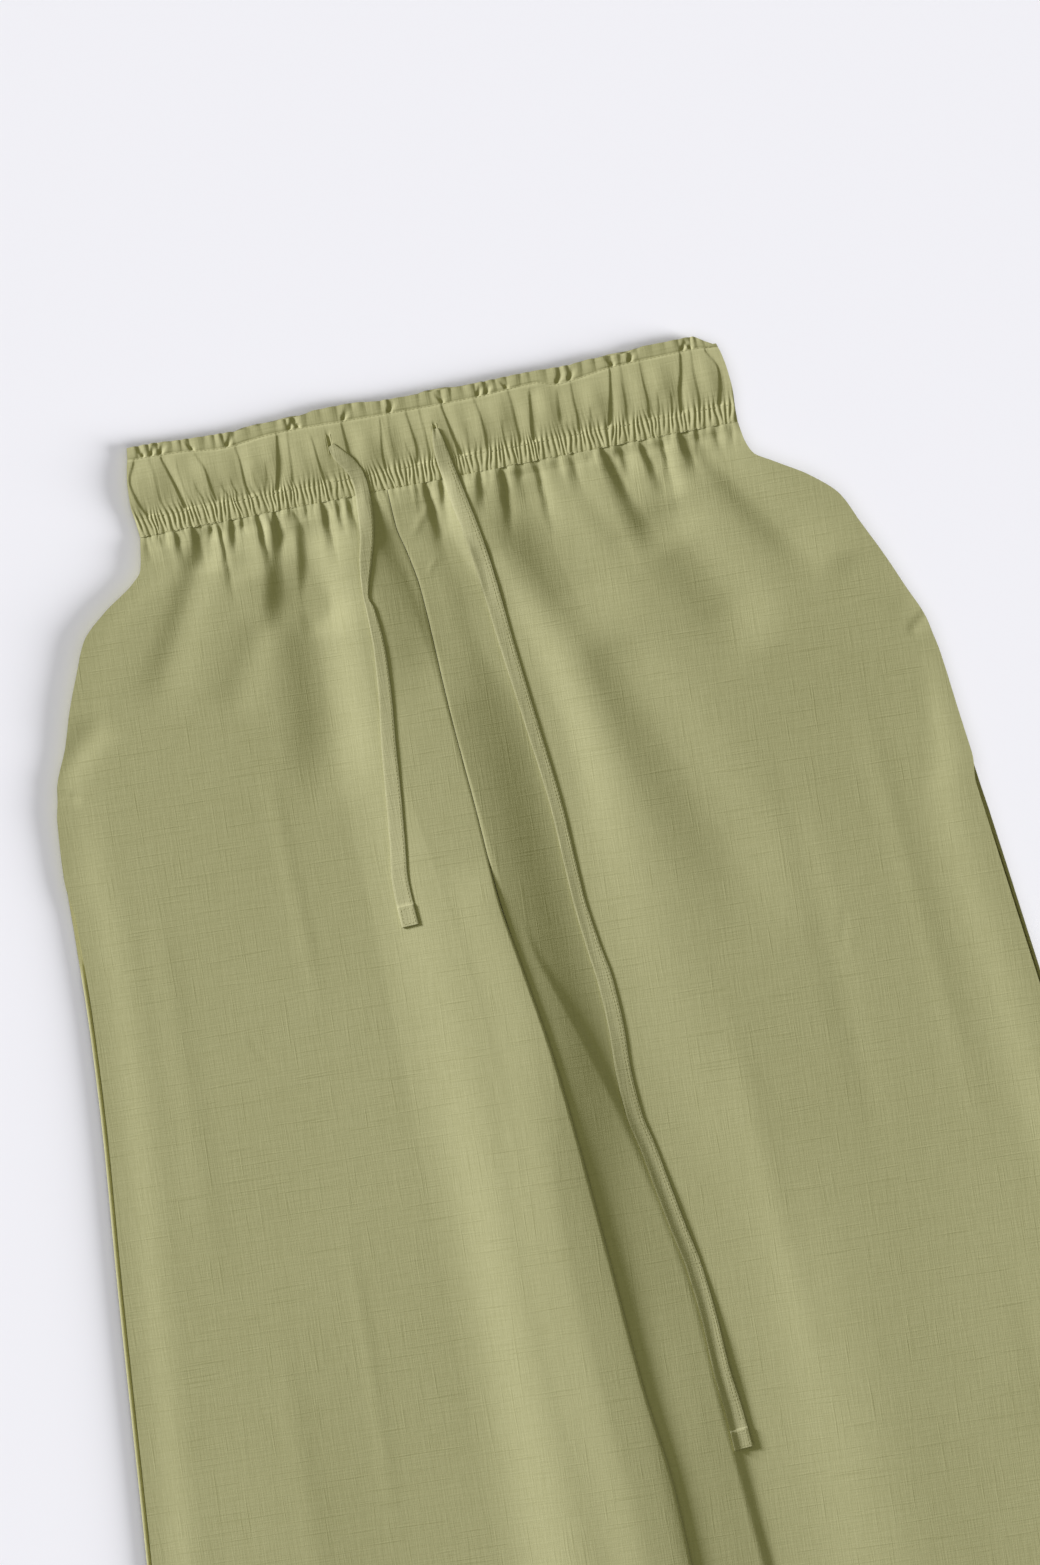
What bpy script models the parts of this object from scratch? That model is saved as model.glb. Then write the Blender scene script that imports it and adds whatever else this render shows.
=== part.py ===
"""Wide-leg drawstring trousers in woven cloth, laid flat on their back.

Sizes are in millimetres until a wall is placed. They follow the garment: u runs across it
to the right, d runs down it from the top of the waist, and z is the height over the table.
Each piece is a wall of cloth: a grid of points for its upper face, with the lower face
straight below it, so that the wall can't cross itself. The back panels lie on the table,
the front panels lie on them, and the left leg's inner edge lies over the right leg.
"""
import math
from collections import namedtuple

import bmesh
import bpy
from mathutils import Vector
from mathutils.bvhtree import BVHTree

MM = 0.001

CLOTH = 1.2              # one layer of the cloth
GAP = 0.3                # between two pieces that are sewn together or lie on each other
HALF_GAP = GAP / 2
HEM_DEPTH = 20.0         # the turned-up hem at the foot of each leg
HEM_FOLD = 1.0           # what the turned-up layer adds to the wall

WAIST_TOP = -4.5         # top of the back ruffle
STITCH_D = 7.5           # stitch line between the ruffle and the casing
CASING_END = 38.0        # stitch line between the casing and the shirring
BAND_FOOT = 50.0         # seam between the waistband and the legs
LEG_END = 1020.0         # foot of the legs
CROTCH_D = 300.0         # from here down the left leg lies over the right one

EDGE_ROUND = 14.0        # width of the round along a leg's outer fold
INNER_ROUND = 11.0       # width of the round along the left leg's inner fold
SEAM_INSET = 3.5         # the side seam lies this far inside the outline
BACK_TUCK = 1.5          # the back stays this far inside the outline where the front hides it
ROLL = 1.6               # height of the back's rolled edge outside the side seam
OVERLAP = 21.0           # how far the left leg lies over the right leg at the hem
RAMP = 30.0              # width of the slope where the left leg climbs on to the right one
LAP_CLEAR = 1.0          # the slope ends this far before the right leg's edge
LEAST_RELIEF = 0.35

Section = namedtuple("Section", "d left right")
OUTLINE = [
    Section(50, -174.5, 175.0), Section(60, -176.0, 176.5), Section(69, -178.0, 180.0),
    Section(76, -184.5, 190.5), Section(88, -202.0, 209.5), Section(102, -217.0, 224.5),
    Section(120, -225.0, 233.0), Section(140, -233.0, 242.5), Section(160, -239.5, 251.0),
    Section(182, -248.5, 260.0), Section(190, -249.8, 261.5), Section(200, -252.0, 263.5),
    Section(240, -255.0, 268.0), Section(300, -256.2, 275.0), Section(360, -259.5, 282.0),
    Section(480, -270.5, 296.0), Section(620, -282.5, 312.0), Section(1020, -319.5, 358.5),
]

SeamPoint = namedtuple("SeamPoint", "d u")
CENTRE_LINE = [
    SeamPoint(50, -30.0), SeamPoint(72, -29.0), SeamPoint(88, -25.5), SeamPoint(110, -22.0),
    SeamPoint(180, -19.0), SeamPoint(240, -15.0), SeamPoint(290, -12.0), SeamPoint(340, -5.0),
    SeamPoint(385, 1.5), SeamPoint(440, 6.5), SeamPoint(520, 12.0), SeamPoint(580, 16.0),
    SeamPoint(650, 23.0), SeamPoint(1020, 30.0),
]

Fullness = namedtuple("Fullness", "d height")
FULLNESS = [
    Fullness(50, 2.9), Fullness(61, 3.8), Fullness(90, 4.6), Fullness(160, 4.3),
    Fullness(300, 4.0), Fullness(600, 3.7), Fullness(1020, 3.3),
]

# Large folds. A negative height is a trough and bow is how far its middle swings to the
# right. left and right are the widths of its two sides, and widen is how much both grow.
Fold = namedtuple("Fold", "u0 d0 u1 d1 bow left right widen height")
FOLDS = [
    Fold(-135.5, 56, -190, 158, 0, 6, 8, 0.8, -1.3),
    Fold(-93.5, 46, -97.5, 118, 0, 5.5, 9, 0.3, -1.9),
    Fold(-118, 112, -150, 164, 0, 9, 9, 0.3, -0.7),
    Fold(-80.5, 60, -82, 114, 0, 6, 9, 0.9, -2.3),
    Fold(-84, 98, -97, 215, 3, 26, 16, -0.5, -2.4),
    Fold(-215, 150, -250, 184, -3, 9, 9, 0.0, -1.0),
    Fold(-252, 183, -236, 190, 0, 2.5, 2.5, 0.0, -1.2),
    Fold(-3, 58, 20, 175, 0, 8, 7, 0.5, -1.9),
    Fold(-37, 60, -14, 150, 0, 6, 12, 0.3, -1.2),
    Fold(39, 52, 60, 165, 2, 7, 6, 0.6, -1.9),
    Fold(56, 150, 132, 330, 0, 13, 14, 0.5, -1.8),
    Fold(76, 66, 104, 116, 0, 6, 6, 0.5, -0.8),
    Fold(102.5, 50, 118, 130, -1, 5.5, 9, 0.8, -2.5),
    Fold(118, 100, 176, 185, -3, 12, 12, 0.6, -1.6),
    Fold(148, 54, 210, 142, -4, 7, 7, 0.8, -1.8),
    Fold(215, 140, 260, 176, 4, 10, 8, 0.2, -1.0),
    Fold(262, 176, 248, 186, 0, 2.5, 2.5, 0.0, -1.2),
    Fold(2, 330, 60, 625, 12, 14, 5, 0.6, 2.4),
    Fold(54, 560, 76, 860, 0, 28, 5, 0.3, 2.4),
    Fold(16, 425, 44, 1100, 2, 7, 9, 0.2, -2.0),
    Fold(140, 520, 168, 1180, 0, 40, 50, 0.0, 1.2),
    Fold(-190, 520, -214, 1180, 0, 40, 40, 0.0, 1.0),
]

# The left leg's broad crest, from its foot to its top, and the valley between the legs. The
# valley lies at its own place and ends at back. height and depth are the crest's and its own.
Crest = namedtuple("Crest", "d foot top valley back height depth")
CRESTS = [
    Crest(70, -80, -66, -33, 5, 0.6, 0.8), Crest(100, -80, -62, 7, 32, 1.5, 2.5),
    Crest(160, -86, -61, 24, 54, 2.3, 3.8), Crest(220, -87, -52, 33, 62, 3.6, 3.9),
    Crest(300, -85, -34, 33, 80, 5.2, 3.2), Crest(360, -84, -20, 38, 98, 6.0, 2.4),
    Crest(440, -84, -14, 46, 118, 6.6, 1.2), Crest(560, -84, -10, 56, 140, 7.0, 0.8),
    Crest(1020, -88, 0, 66, 150, 7.0, 0.8),
]

# Tucks that run down from the band foot and fade out.
Tuck = namedtuple("Tuck", "u0 u1 d1 width depth")
TUCKS = [
    Tuck(-171.5, -170.0, 66, 2.6, 0.6), Tuck(-158.0, -158.0, 62, 2.4, 0.5),
    Tuck(-139.5, -140.5, 74, 4.0, 1.4), Tuck(-124.0, -124.0, 94, 3.0, 0.9),
    Tuck(-116.0, -120.5, 82, 3.2, 1.1), Tuck(-105.0, -103.0, 66, 2.4, 1.0),
    Tuck(-93.8, -95.5, 84, 2.0, 0.7), Tuck(-82.0, -83.0, 62, 2.4, 0.4),
    Tuck(-66.0, -64.5, 84, 2.8, 1.1), Tuck(-51.5, -49.5, 74, 3.0, 1.3),
    Tuck(-38.5, -36.0, 88, 3.4, 0.8), Tuck(-8.4, -6.4, 92, 2.4, 1.1),
    Tuck(1.0, 0.0, 72, 2.4, 1.0), Tuck(21.5, 20.6, 84, 3.8, 1.0),
    Tuck(37.2, 35.5, 80, 2.6, 1.3), Tuck(57.0, 58.5, 90, 2.2, 0.8),
    Tuck(79.0, 80.0, 68, 3.6, 0.7), Tuck(96.5, 99.5, 84, 2.2, 0.9),
    Tuck(106.0, 107.0, 66, 2.2, 0.9), Tuck(117.5, 129.0, 88, 2.6, 1.2),
    Tuck(129.5, 130.5, 94, 2.2, 0.6), Tuck(141.6, 147.5, 76, 3.6, 1.3),
    Tuck(156.0, 157.0, 62, 2.2, 0.4), Tuck(171.0, 169.5, 66, 2.6, 0.6),
]

# Creases down the casing: where each starts and ends, and how high the pleat after it puffs.
Pleat = namedtuple("Pleat", "top foot puff")
PLEATS = [
    Pleat(-173.5, -174.5, 1.8), Pleat(-159.6, -159.0, 2.2), Pleat(-154.5, -146.0, 2.6),
    Pleat(-145.0, -139.0, 2.2), Pleat(-130.5, -128.0, 3.0), Pleat(-112.0, -108.0, 3.2),
    Pleat(-97.0, -97.5, 2.2), Pleat(-86.0, -91.0, 2.6), Pleat(-78.5, -81.0, 2.4),
    Pleat(-67.0, -62.0, 2.4), Pleat(-47.5, -47.0, 3.4), Pleat(-27.0, -28.0, 2.8),
    Pleat(-9.0, -7.0, 3.0), Pleat(10.5, 15.5, 2.8), Pleat(30.0, 32.0, 2.8),
    Pleat(49.5, 50.0, 1.8), Pleat(62.0, 59.0, 2.6), Pleat(76.0, 73.0, 1.8),
    Pleat(85.0, 86.0, 3.0), Pleat(109.0, 104.0, 1.8), Pleat(115.5, 114.0, 2.0),
    Pleat(126.7, 126.5, 2.8), Pleat(143.0, 139.0, 1.6), Pleat(150.0, 146.0, 1.6),
    Pleat(157.0, 158.0, 2.2), Pleat(174.5, 175.5, 0.0),
]
PLEAT_SHAPE = [(0.0, 0.0), (0.22, 0.8), (0.5, 1.0), (0.8, 0.75)]

RUFFLE_WAVES = 26
RUFFLE_TOP = [
    SeamPoint(-173, -0.5), SeamPoint(-160, -2.0), SeamPoint(-139, -0.2), SeamPoint(-114, 0.6),
    SeamPoint(-86, -1.0), SeamPoint(-61, -3.0), SeamPoint(-48, -2.8), SeamPoint(-30, -1.6),
    SeamPoint(-10, -1.0), SeamPoint(25, -1.0), SeamPoint(60, -1.4), SeamPoint(100, -0.6),
    SeamPoint(130, -2.2), SeamPoint(158, -2.8), SeamPoint(168, -0.5), SeamPoint(174, 3.0),
]
BACK_WAVES = 20
GATHERS = 96
GATHER_HEIGHT = 1.5
BAND_LEFT = -174.5
BAND_RIGHT = 175.0

LEG_ROWS = [50, 55, 61, 68, 76, 86, 98, 112, 128, 146, 166, 184, 190, 204, 234, 262, 280, 298,
            330, 370, 420, 480, 560, 660, 780, 900, 999, 1001, 1020]

SEAM_START = {"left": 234, "right": 262}   # rows where the side seams start to show

# The free ends of the drawstring: the middle of the tape and its width there.
Tape = namedtuple("Tape", "u d width")
LEFT_TAPE = [
    Tape(-56.8, 19, 4.0), Tape(-53.6, 25, 7.0), Tape(-49, 31, 8.0), Tape(-45.6, 38, 8.0),
    Tape(-44.3, 46, 8.0), Tape(-44.6, 59, 9.0), Tape(-46.2, 73, 8.2), Tape(-49.8, 88, 7.2),
    Tape(-53.2, 104, 5.0), Tape(-52.2, 120, 6.0), Tape(-51.6, 136, 6.6), Tape(-53, 160, 7.5),
    Tape(-57, 195, 8.5), Tape(-60, 225, 9.0), Tape(-62.7, 250, 9.0), Tape(-65.5, 275, 9.5),
    Tape(-64.5, 298, 10.0),
]
RIGHT_TAPE = [
    Tape(3.9, 21, 3.4), Tape(4.2, 28, 6.4), Tape(4.8, 36, 8.0), Tape(6.8, 49, 8.8),
    Tape(9.8, 66, 9.4), Tape(13.6, 86, 9.3), Tape(16.4, 107, 9.2), Tape(20.5, 150, 8.5),
    Tape(26, 200, 7.5), Tape(31, 250, 7.0), Tape(33, 300, 7.0), Tape(36, 328, 8.0),
    Tape(39.3, 352, 9.0), Tape(40.3, 378, 9.0), Tape(39.5, 402, 9.0), Tape(40.8, 428, 9.0),
    Tape(45.2, 450, 9.0), Tape(48.5, 470, 9.0), Tape(53, 496, 9.0), Tape(58, 522, 9.0),
    Tape(60.8, 552, 9.0), Tape(62, 582, 9.5), Tape(64.5, 606, 10.0), Tape(66, 629, 11.0),
]
TAPE_THICK = 1.1
TAPE_STEP = 9.0
TIP_LENGTH = 12.0
TIP_FOLD = 0.6

GREEN = (0.40, 0.39, 0.20, 1.0)
GREEN_BACK = (0.33, 0.32, 0.16, 1.0)
GREEN_TAPE = (0.37, 0.36, 0.20, 1.0)


def ease(x, start, end):
    """Rise smoothly from 0 at start to 1 at end."""
    t = min(max((x - start) / (end - start), 0.0), 1.0)
    return t * t * (3 - 2 * t)


def smooth_curve(points):
    """Give a function that runs smoothly through (place, value) points and never overshoots."""
    places = [p[0] for p in points]
    values = [p[1] for p in points]
    steps = [b - a for a, b in zip(places, places[1:])]
    rises = [(b - a) / h for a, b, h in zip(values, values[1:], steps)]
    slopes = [rises[0]]
    for before, after in zip(rises, rises[1:]):
        same_way = before * after > 0
        slopes.append(2 * before * after / (before + after) if same_way else 0.0)
    slopes.append(rises[-1])

    def value(x):
        x = min(max(x, places[0]), places[-1])
        i = 0
        while i < len(steps) - 1 and x > places[i + 1]:
            i += 1
        t = (x - places[i]) / steps[i]
        start = values[i] * (1 + 2 * t) * (1 - t) ** 2 + slopes[i] * steps[i] * t * (1 - t) ** 2
        end = values[i + 1] * t * t * (3 - 2 * t) + slopes[i + 1] * steps[i] * t * t * (t - 1)
        return start + end

    return value


left_outline = smooth_curve([(row.d, row.left) for row in OUTLINE])
right_outline = smooth_curve([(row.d, row.right) for row in OUTLINE])
centre_line = smooth_curve(CENTRE_LINE)
fullness = smooth_curve(FULLNESS)
ruffle_top = smooth_curve(RUFFLE_TOP)
crest_foot = smooth_curve([(row.d, row.foot) for row in CRESTS])
crest_top = smooth_curve([(row.d, row.top) for row in CRESTS])
valley_line = smooth_curve([(row.d, row.valley) for row in CRESTS])
valley_back = smooth_curve([(row.d, row.back) for row in CRESTS])
crest_height = smooth_curve([(row.d, row.height) for row in CRESTS])
valley_depth = smooth_curve([(row.d, row.depth) for row in CRESTS])

MIDDLE_U = (left_outline(LEG_END) + right_outline(LEG_END)) / 2
MIDDLE_D = (WAIST_TOP + LEG_END) / 2


def place(u, d, z):
    """Turn a place on the garment into metres, with the origin under the garment's middle."""
    return Vector(((u - MIDDLE_U) * MM, (MIDDLE_D - d) * MM, z * MM))


def overlap(d):
    """How far the left leg lies over the right one."""
    return OVERLAP * ease(d, CROTCH_D, CROTCH_D + 230)


def hidden_edge(d):
    """The right leg's inner edge, under the left leg."""
    return centre_line(d) - overlap(d)


def seam_stage(d, side, stage):
    """How far one stage of the side seam has gone at a depth, from 0 to 1.

    Down the leg the front draws in from the outline, then the back comes out to it, and
    last the back's edge rolls up. Each stage runs between two rows of the leg.
    """
    first = LEG_ROWS.index(SEAM_START[side]) + stage
    return ease(d, LEG_ROWS[first], LEG_ROWS[first + 1])


def front_inset(d, side):
    """How far the front's outer edge lies inside the outline."""
    return SEAM_INSET * seam_stage(d, side, 0)


def back_inset(d, side):
    """How far the back's outer edge lies inside the outline."""
    return BACK_TUCK * (1 - seam_stage(d, side, 1))


def layer(d):
    """The wall's thickness, which grows at the turned-up hem."""
    return CLOTH + HEM_FOLD * ease(d, LEG_END - HEM_DEPTH - 1, LEG_END - HEM_DEPTH + 1)


def fold_height(fold, u, d):
    """What one large fold adds at a place."""
    run_u = fold.u1 - fold.u0
    run_d = fold.d1 - fold.d0
    length = math.hypot(run_u, run_d)
    along = ((u - fold.u0) * run_u + (d - fold.d0) * run_d) / length ** 2
    side = 1 if run_d > 0 else -1
    across = side * ((u - fold.u0) * run_d - (d - fold.d0) * run_u) / length
    t = min(max(along, 0.0), 1.0)
    across -= fold.bow * 4 * t * (1 - t)
    width = (fold.left if across < 0 else fold.right) * (1 + fold.widen * t)
    ends = ease(along, -0.12, 0.2) * (1 - ease(along, 0.72, 1.12))
    return fold.height * ends * math.exp(-(across / width) ** 2)


def slope(x, start, end, even):
    """Go from 0 to 1, as a soft step with even 0 or almost as a flat plane with even 1."""
    t = min(max((x - start) / (end - start), 0.0), 1.0)
    return t - (1 - 0.65 * even) * math.sin(2 * math.pi * t) / (2 * math.pi)


def crest_wave(u, d):
    """The left leg's broad crest and the valley between the legs, to the right of it."""
    top = crest_top(d)
    valley = valley_line(d)
    height = crest_height(d)
    depth = valley_depth(d)
    start = top + 0.15 * (valley - top)
    late = start + 0.45 * (valley - start)
    rise = height * slope(u, crest_foot(d), top, 1.0)
    fall = (height + depth) * (slope(u, start, valley, 0.6) + slope(u, late, valley, 1.0)) / 2
    back = depth * slope(u, valley, valley_back(d), 0.5)
    return (rise - fall + back) * ease(d, BAND_FOOT, 90)


def tuck_depth(tuck, u, d):
    """How far one tuck presses the cloth down at a place, more gently on its right."""
    along = (d - BAND_FOOT) / (tuck.d1 - BAND_FOOT)
    if along > 1.2:
        return 0.0
    middle = tuck.u0 + (tuck.u1 - tuck.u0) * along
    width = tuck.width * (1 + 0.6 * along) * (2.0 if u > middle else 1.0)
    return tuck.depth * (1 - ease(along, 0.35, 1.2)) * math.exp(-((u - middle) / width) ** 2)


def relief(u, d):
    """Height of the front's underside over its lowest place, before its edges round down."""
    height = fullness(d) + crest_wave(u, d)
    height += sum(fold_height(fold, u, d) for fold in FOLDS)
    height -= sum(tuck_depth(tuck, u, d) for tuck in TUCKS)
    return max(height, LEAST_RELIEF)


def round_down(distance, width):
    """A quarter round: 0 at the edge, 1 from width on."""
    t = min(max(distance / width, 0.0), 1.0)
    return math.sqrt(1 - (1 - t) ** 2)


def climb(u, d):
    """How far the left leg is lifted by the right leg below it."""
    stack = 2 * (layer(d) + GAP)
    edge = hidden_edge(d)
    slope = ease(u, edge - RAMP - LAP_CLEAR, edge - LAP_CLEAR)
    return stack * slope * ease(d, CROTCH_D - 38, CROTCH_D - 4)


def front_left_base(u, d):
    """Underside of the left front panel."""
    lap = ease(d, CROTCH_D - 50, CROTCH_D)
    outer = left_outline(d) + front_inset(d, "left")
    height = relief(u, d) * round_down(u - outer, EDGE_ROUND)
    inner = round_down(centre_line(d) - HALF_GAP - u, INNER_ROUND)
    height *= inner * lap + 1 - lap
    return layer(d) + GAP + climb(u, d) + height


def front_right_base(u, d):
    """Underside of the right front panel, which lies flat where the left leg covers it."""
    lap = ease(d, CROTCH_D - 50, CROTCH_D - 4)
    outer = right_outline(d) - front_inset(d, "right")
    height = relief(u, d) * round_down(outer - u, EDGE_ROUND)
    shown = ease(u, centre_line(d) + 1, centre_line(d) + 16)
    height *= shown * lap + 1 - lap
    return layer(d) + GAP + height


def back_left_base(u, d):
    """Underside of the left back panel: flat, with a rolled outer edge and a lifted inner one."""
    distance = u - left_outline(d)
    roll = ROLL * seam_stage(d, "left", 2) * (1 - ease(distance, 2.2, 3.1))
    return roll + climb(u, d)


def back_right_base(u, d):
    """Underside of the right back panel: flat, with a rolled outer edge."""
    distance = right_outline(d) - u
    return ROLL * seam_stage(d, "right", 2) * (1 - ease(distance, 2.2, 3.1))


def spread(start, end, count):
    """Places from start to end, both left out, evenly spaced."""
    return [start + (end - start) * (i + 1) / (count + 1) for i in range(count)]


def left_columns(d, outer, outer_steps, middle_count):
    """Places across the left leg in one row, from its outer edge to its inner edge."""
    edge = hidden_edge(d)
    end = centre_line(d) - HALF_GAP
    first = [outer + step for step in outer_steps]
    ramp = [edge - LAP_CLEAR - RAMP * part for part in (1.0, 0.67, 0.33, 0.0)]
    last = [end - step for step in (5.0, 2.0, 0.6, 0.0)]
    if end - 5.0 <= ramp[-1]:
        # Above the overlap the slope's places close up beside the seam.
        ramp = [end - HALF_GAP - place_in for place_in in (22.0, 17.0, 12.0, 8.0)]
    return first + spread(first[-1], ramp[0], middle_count) + ramp + last


def right_columns(d, outer, outer_steps, middle_count):
    """Places across the right leg in one row, from its inner edge to its outer edge."""
    start = hidden_edge(d) + HALF_GAP
    edge = centre_line(d)
    first = [start, (start + edge) / 2 + 1.0, edge + 2.0, edge + 8.0, edge + 14.0, edge + 20.0]
    last = [outer - step for step in reversed(outer_steps)]
    return first + spread(first[-1], last[0], middle_count) + last


def new_material(name, colour, roughness):
    """A plain cloth material."""
    material = bpy.data.materials.new(name)
    material.use_nodes = True
    shader = material.node_tree.nodes["Principled BSDF"]
    shader.inputs["Base Color"].default_value = colour
    shader.inputs["Roughness"].default_value = roughness
    shader.inputs["Metallic"].default_value = 0.0
    return material


def cloth_wall(name, rows, colour, collection):
    """Make one piece from rows of (u, d, underside, thickness) points.

    The grid is the piece's upper face. Extruding it gives the lower face, which is then set
    straight below the upper one.
    """
    row_steps = len(rows) - 1
    column_steps = len(rows[0]) - 1
    mesh = bpy.data.meshes.new(name)
    bm = bmesh.new()
    bmesh.ops.create_grid(bm, x_segments=column_steps, y_segments=row_steps, size=1.0)
    lower = {}
    for vert in bm.verts:
        column = round((vert.co.x + 1) / 2 * column_steps)
        row = round((1 - vert.co.y) / 2 * row_steps)
        u, d, under, thick = rows[row][column]
        vert.co = place(u, d, under + thick)
        lower[vert.co.to_tuple(9)] = place(u, d, under)
    made = bmesh.ops.extrude_face_region(bm, geom=bm.faces[:])
    for item in made["geom"]:
        if isinstance(item, bmesh.types.BMVert):
            item.co = lower[item.co.to_tuple(9)]
    bmesh.ops.recalc_face_normals(bm, faces=bm.faces[:])
    bm.to_mesh(mesh)
    bm.free()
    mesh.shade_smooth()
    mesh.set_sharp_from_angle(angle=math.radians(50))
    mesh.materials.append(new_material(name, colour, 0.85))
    piece = bpy.data.objects.new(name, mesh)
    collection.objects.link(piece)
    return piece


FRONT_EDGE = (0.0, 0.5, 2.0, 5.5, 11.0)
BACK_EDGE = (0.0, 1.0, 2.2, 3.1, 10.0)


def leg_rows():
    """Depths of the leg's rows, just clear of the band."""
    return [max(d, BAND_FOOT + HALF_GAP) for d in LEG_ROWS]


def add_legs(collection):
    """The four leg panels."""
    rows = leg_rows()
    table = []
    for d in rows:
        outer = left_outline(d) + front_inset(d, "left")
        places = left_columns(d, outer, FRONT_EDGE, 25)
        table.append([(u, d, front_left_base(u, d), layer(d)) for u in places])
    cloth_wall("front_left_leg", table, GREEN, collection)

    table = []
    for d in rows:
        outer = right_outline(d) - front_inset(d, "right")
        places = right_columns(d, outer, FRONT_EDGE, 27)
        table.append([(u, d, front_right_base(u, d), layer(d)) for u in places])
    cloth_wall("front_right_leg", table, GREEN, collection)

    table = []
    for d in rows:
        outer = left_outline(d) + back_inset(d, "left")
        places = left_columns(d, outer, BACK_EDGE, 3)
        table.append([(u, d, back_left_base(u, d), layer(d)) for u in places])
    cloth_wall("back_left_leg", table, GREEN_BACK, collection)

    table = []
    for d in rows:
        outer = right_outline(d) - back_inset(d, "right")
        places = right_columns(d, outer, BACK_EDGE, 3)
        table.append([(u, d, back_right_base(u, d), layer(d)) for u in places])
    cloth_wall("back_right_leg", table, GREEN_BACK, collection)


def band_side(u):
    """0 at the side folds of the waistband, 1 away from them."""
    return round_down(min(u - BAND_LEFT, BAND_RIGHT - u), 9.0)


def casing_table():
    """The casing: soft pleats between its creases, flattened at the two stitch lines."""
    table = []
    for d in (STITCH_D + HALF_GAP, 12.0, 20.0, 30.0, CASING_END - HALF_GAP):
        part = (d - STITCH_D) / (CASING_END - STITCH_D)
        swell = 0.35 + 0.65 * math.sin(math.pi * part)
        row = []
        for pleat, following in zip(PLEATS, PLEATS[1:]):
            start = pleat.top + (pleat.foot - pleat.top) * part
            end = following.top + (following.foot - following.top) * part
            for across, shape in PLEAT_SHAPE:
                u = start + (end - start) * across
                height = 0.8 + 1.6 * swell + pleat.puff * shape * swell
                row.append((u, d, CLOTH + GAP + height * band_side(u), CLOTH))
        u = PLEATS[-1].top + (PLEATS[-1].foot - PLEATS[-1].top) * part
        row.append((u, d, CLOTH + GAP, CLOTH))
        table.append(row)
    return table


def ruffle_table():
    """The front ruffle: waves that open out from the stitch line to the top edge."""
    steps = RUFFLE_WAVES * 4
    table = []
    for part in (0.0, 0.5, 1.0):
        row = []
        for i in range(steps + 1):
            u = BAND_LEFT + (BAND_RIGHT - BAND_LEFT) * i / steps
            phase = 2 * math.pi * i / 4 + 0.9 * math.sin(i * 0.21)
            foot = STITCH_D - HALF_GAP
            d = foot + (ruffle_top(u) - foot) * part
            wave = 0.5 + 0.5 * math.sin(phase)
            under = CLOTH + GAP + 1.9 + (0.3 + 1.6 * part) * wave
            row.append((u, d, under, CLOTH))
        table.append(row)
    return table[::-1]


def shirring_table():
    """The shirred strip: narrow gathers side by side."""
    table = []
    for part in (0.0, 0.5, 1.0):
        d = CASING_END + HALF_GAP + (BAND_FOOT - CASING_END - GAP) * part
        row = []
        for i in range(GATHERS * 2 + 1):
            u = BAND_LEFT + (BAND_RIGHT - BAND_LEFT) * i / (GATHERS * 2)
            ridge = i % 2
            swell = 0.6 + 0.4 * math.sin(math.pi * part)
            height = 0.9 + (GATHER_HEIGHT * swell + 0.35 * math.sin(i * 1.7)) * ridge
            row.append((u, d, CLOTH + GAP + height * band_side(u), CLOTH))
        table.append(row)
    return table


def back_band_table():
    """The back of the waistband, flat on the table, with its own ruffle at the top."""
    steps = BACK_WAVES * 3
    table = []
    for d in (WAIST_TOP, 1.0, STITCH_D, 24.0, BAND_FOOT - HALF_GAP):
        row = []
        for i in range(steps + 1):
            u = BAND_LEFT + 1.0 + (BAND_RIGHT - BAND_LEFT - 2.0) * i / steps
            loose = ease(-d, -STITCH_D, -WAIST_TOP)
            wave = 0.5 + 0.5 * math.cos(2 * math.pi * i / 3)
            dip = 1.4 * loose * (0.5 + 0.5 * math.sin(i * 0.9))
            dip *= 1 if 0 < i < steps else 0
            row.append((u, d + dip, 1.3 * wave * loose, CLOTH))
        table.append(row)
    return table


def add_waistband(collection):
    """The ruffle, casing and shirring of the front, and the back in one piece."""
    cloth_wall("waistband_ruffle_front", ruffle_table(), GREEN, collection)
    cloth_wall("waistband_casing_front", casing_table(), GREEN, collection)
    cloth_wall("waistband_shirring_front", shirring_table(), GREEN, collection)
    cloth_wall("waistband_back", back_band_table(), GREEN_BACK, collection)


def surface_of(pieces):
    """Join the pieces' points into one tree for looking straight down on them."""
    bm = bmesh.new()
    for piece in pieces:
        bm.from_mesh(piece.data)
    tree = BVHTree.FromBMesh(bm)
    bm.free()
    return tree


def height_below(tree, u, d):
    """Height of what lies under a place, in millimetres."""
    hit = tree.ray_cast(place(u, d, 100.0), Vector((0, 0, -1)))
    return hit[0].z / MM if hit[0] else 0.0


def tape_stations(route):
    """Even steps along a smooth curve through the route: middle, direction and width."""
    lengths = [0.0]
    for a, b in zip(route, route[1:]):
        lengths.append(lengths[-1] + math.hypot(b.u - a.u, b.d - a.d))
    across = smooth_curve([(s, p.u) for s, p in zip(lengths, route)])
    down = smooth_curve([(s, p.d) for s, p in zip(lengths, route)])
    width = smooth_curve([(s, p.width) for s, p in zip(lengths, route)])
    total = lengths[-1]
    count = round((total - TIP_LENGTH) / TAPE_STEP)
    places = [(total - TIP_LENGTH) * i / count for i in range(count + 1)]
    places += [total - TIP_LENGTH + 1.0, total - TIP_LENGTH / 2, total]
    stations = []
    for s in places:
        step_u = across(s + 1) - across(s - 1)
        step_d = down(s + 1) - down(s - 1)
        length = math.hypot(step_u, step_d)
        tip = s > total - TIP_LENGTH + 0.5
        stations.append((across(s), down(s), step_u / length, step_d / length, width(s), tip))
    return stations


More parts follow.
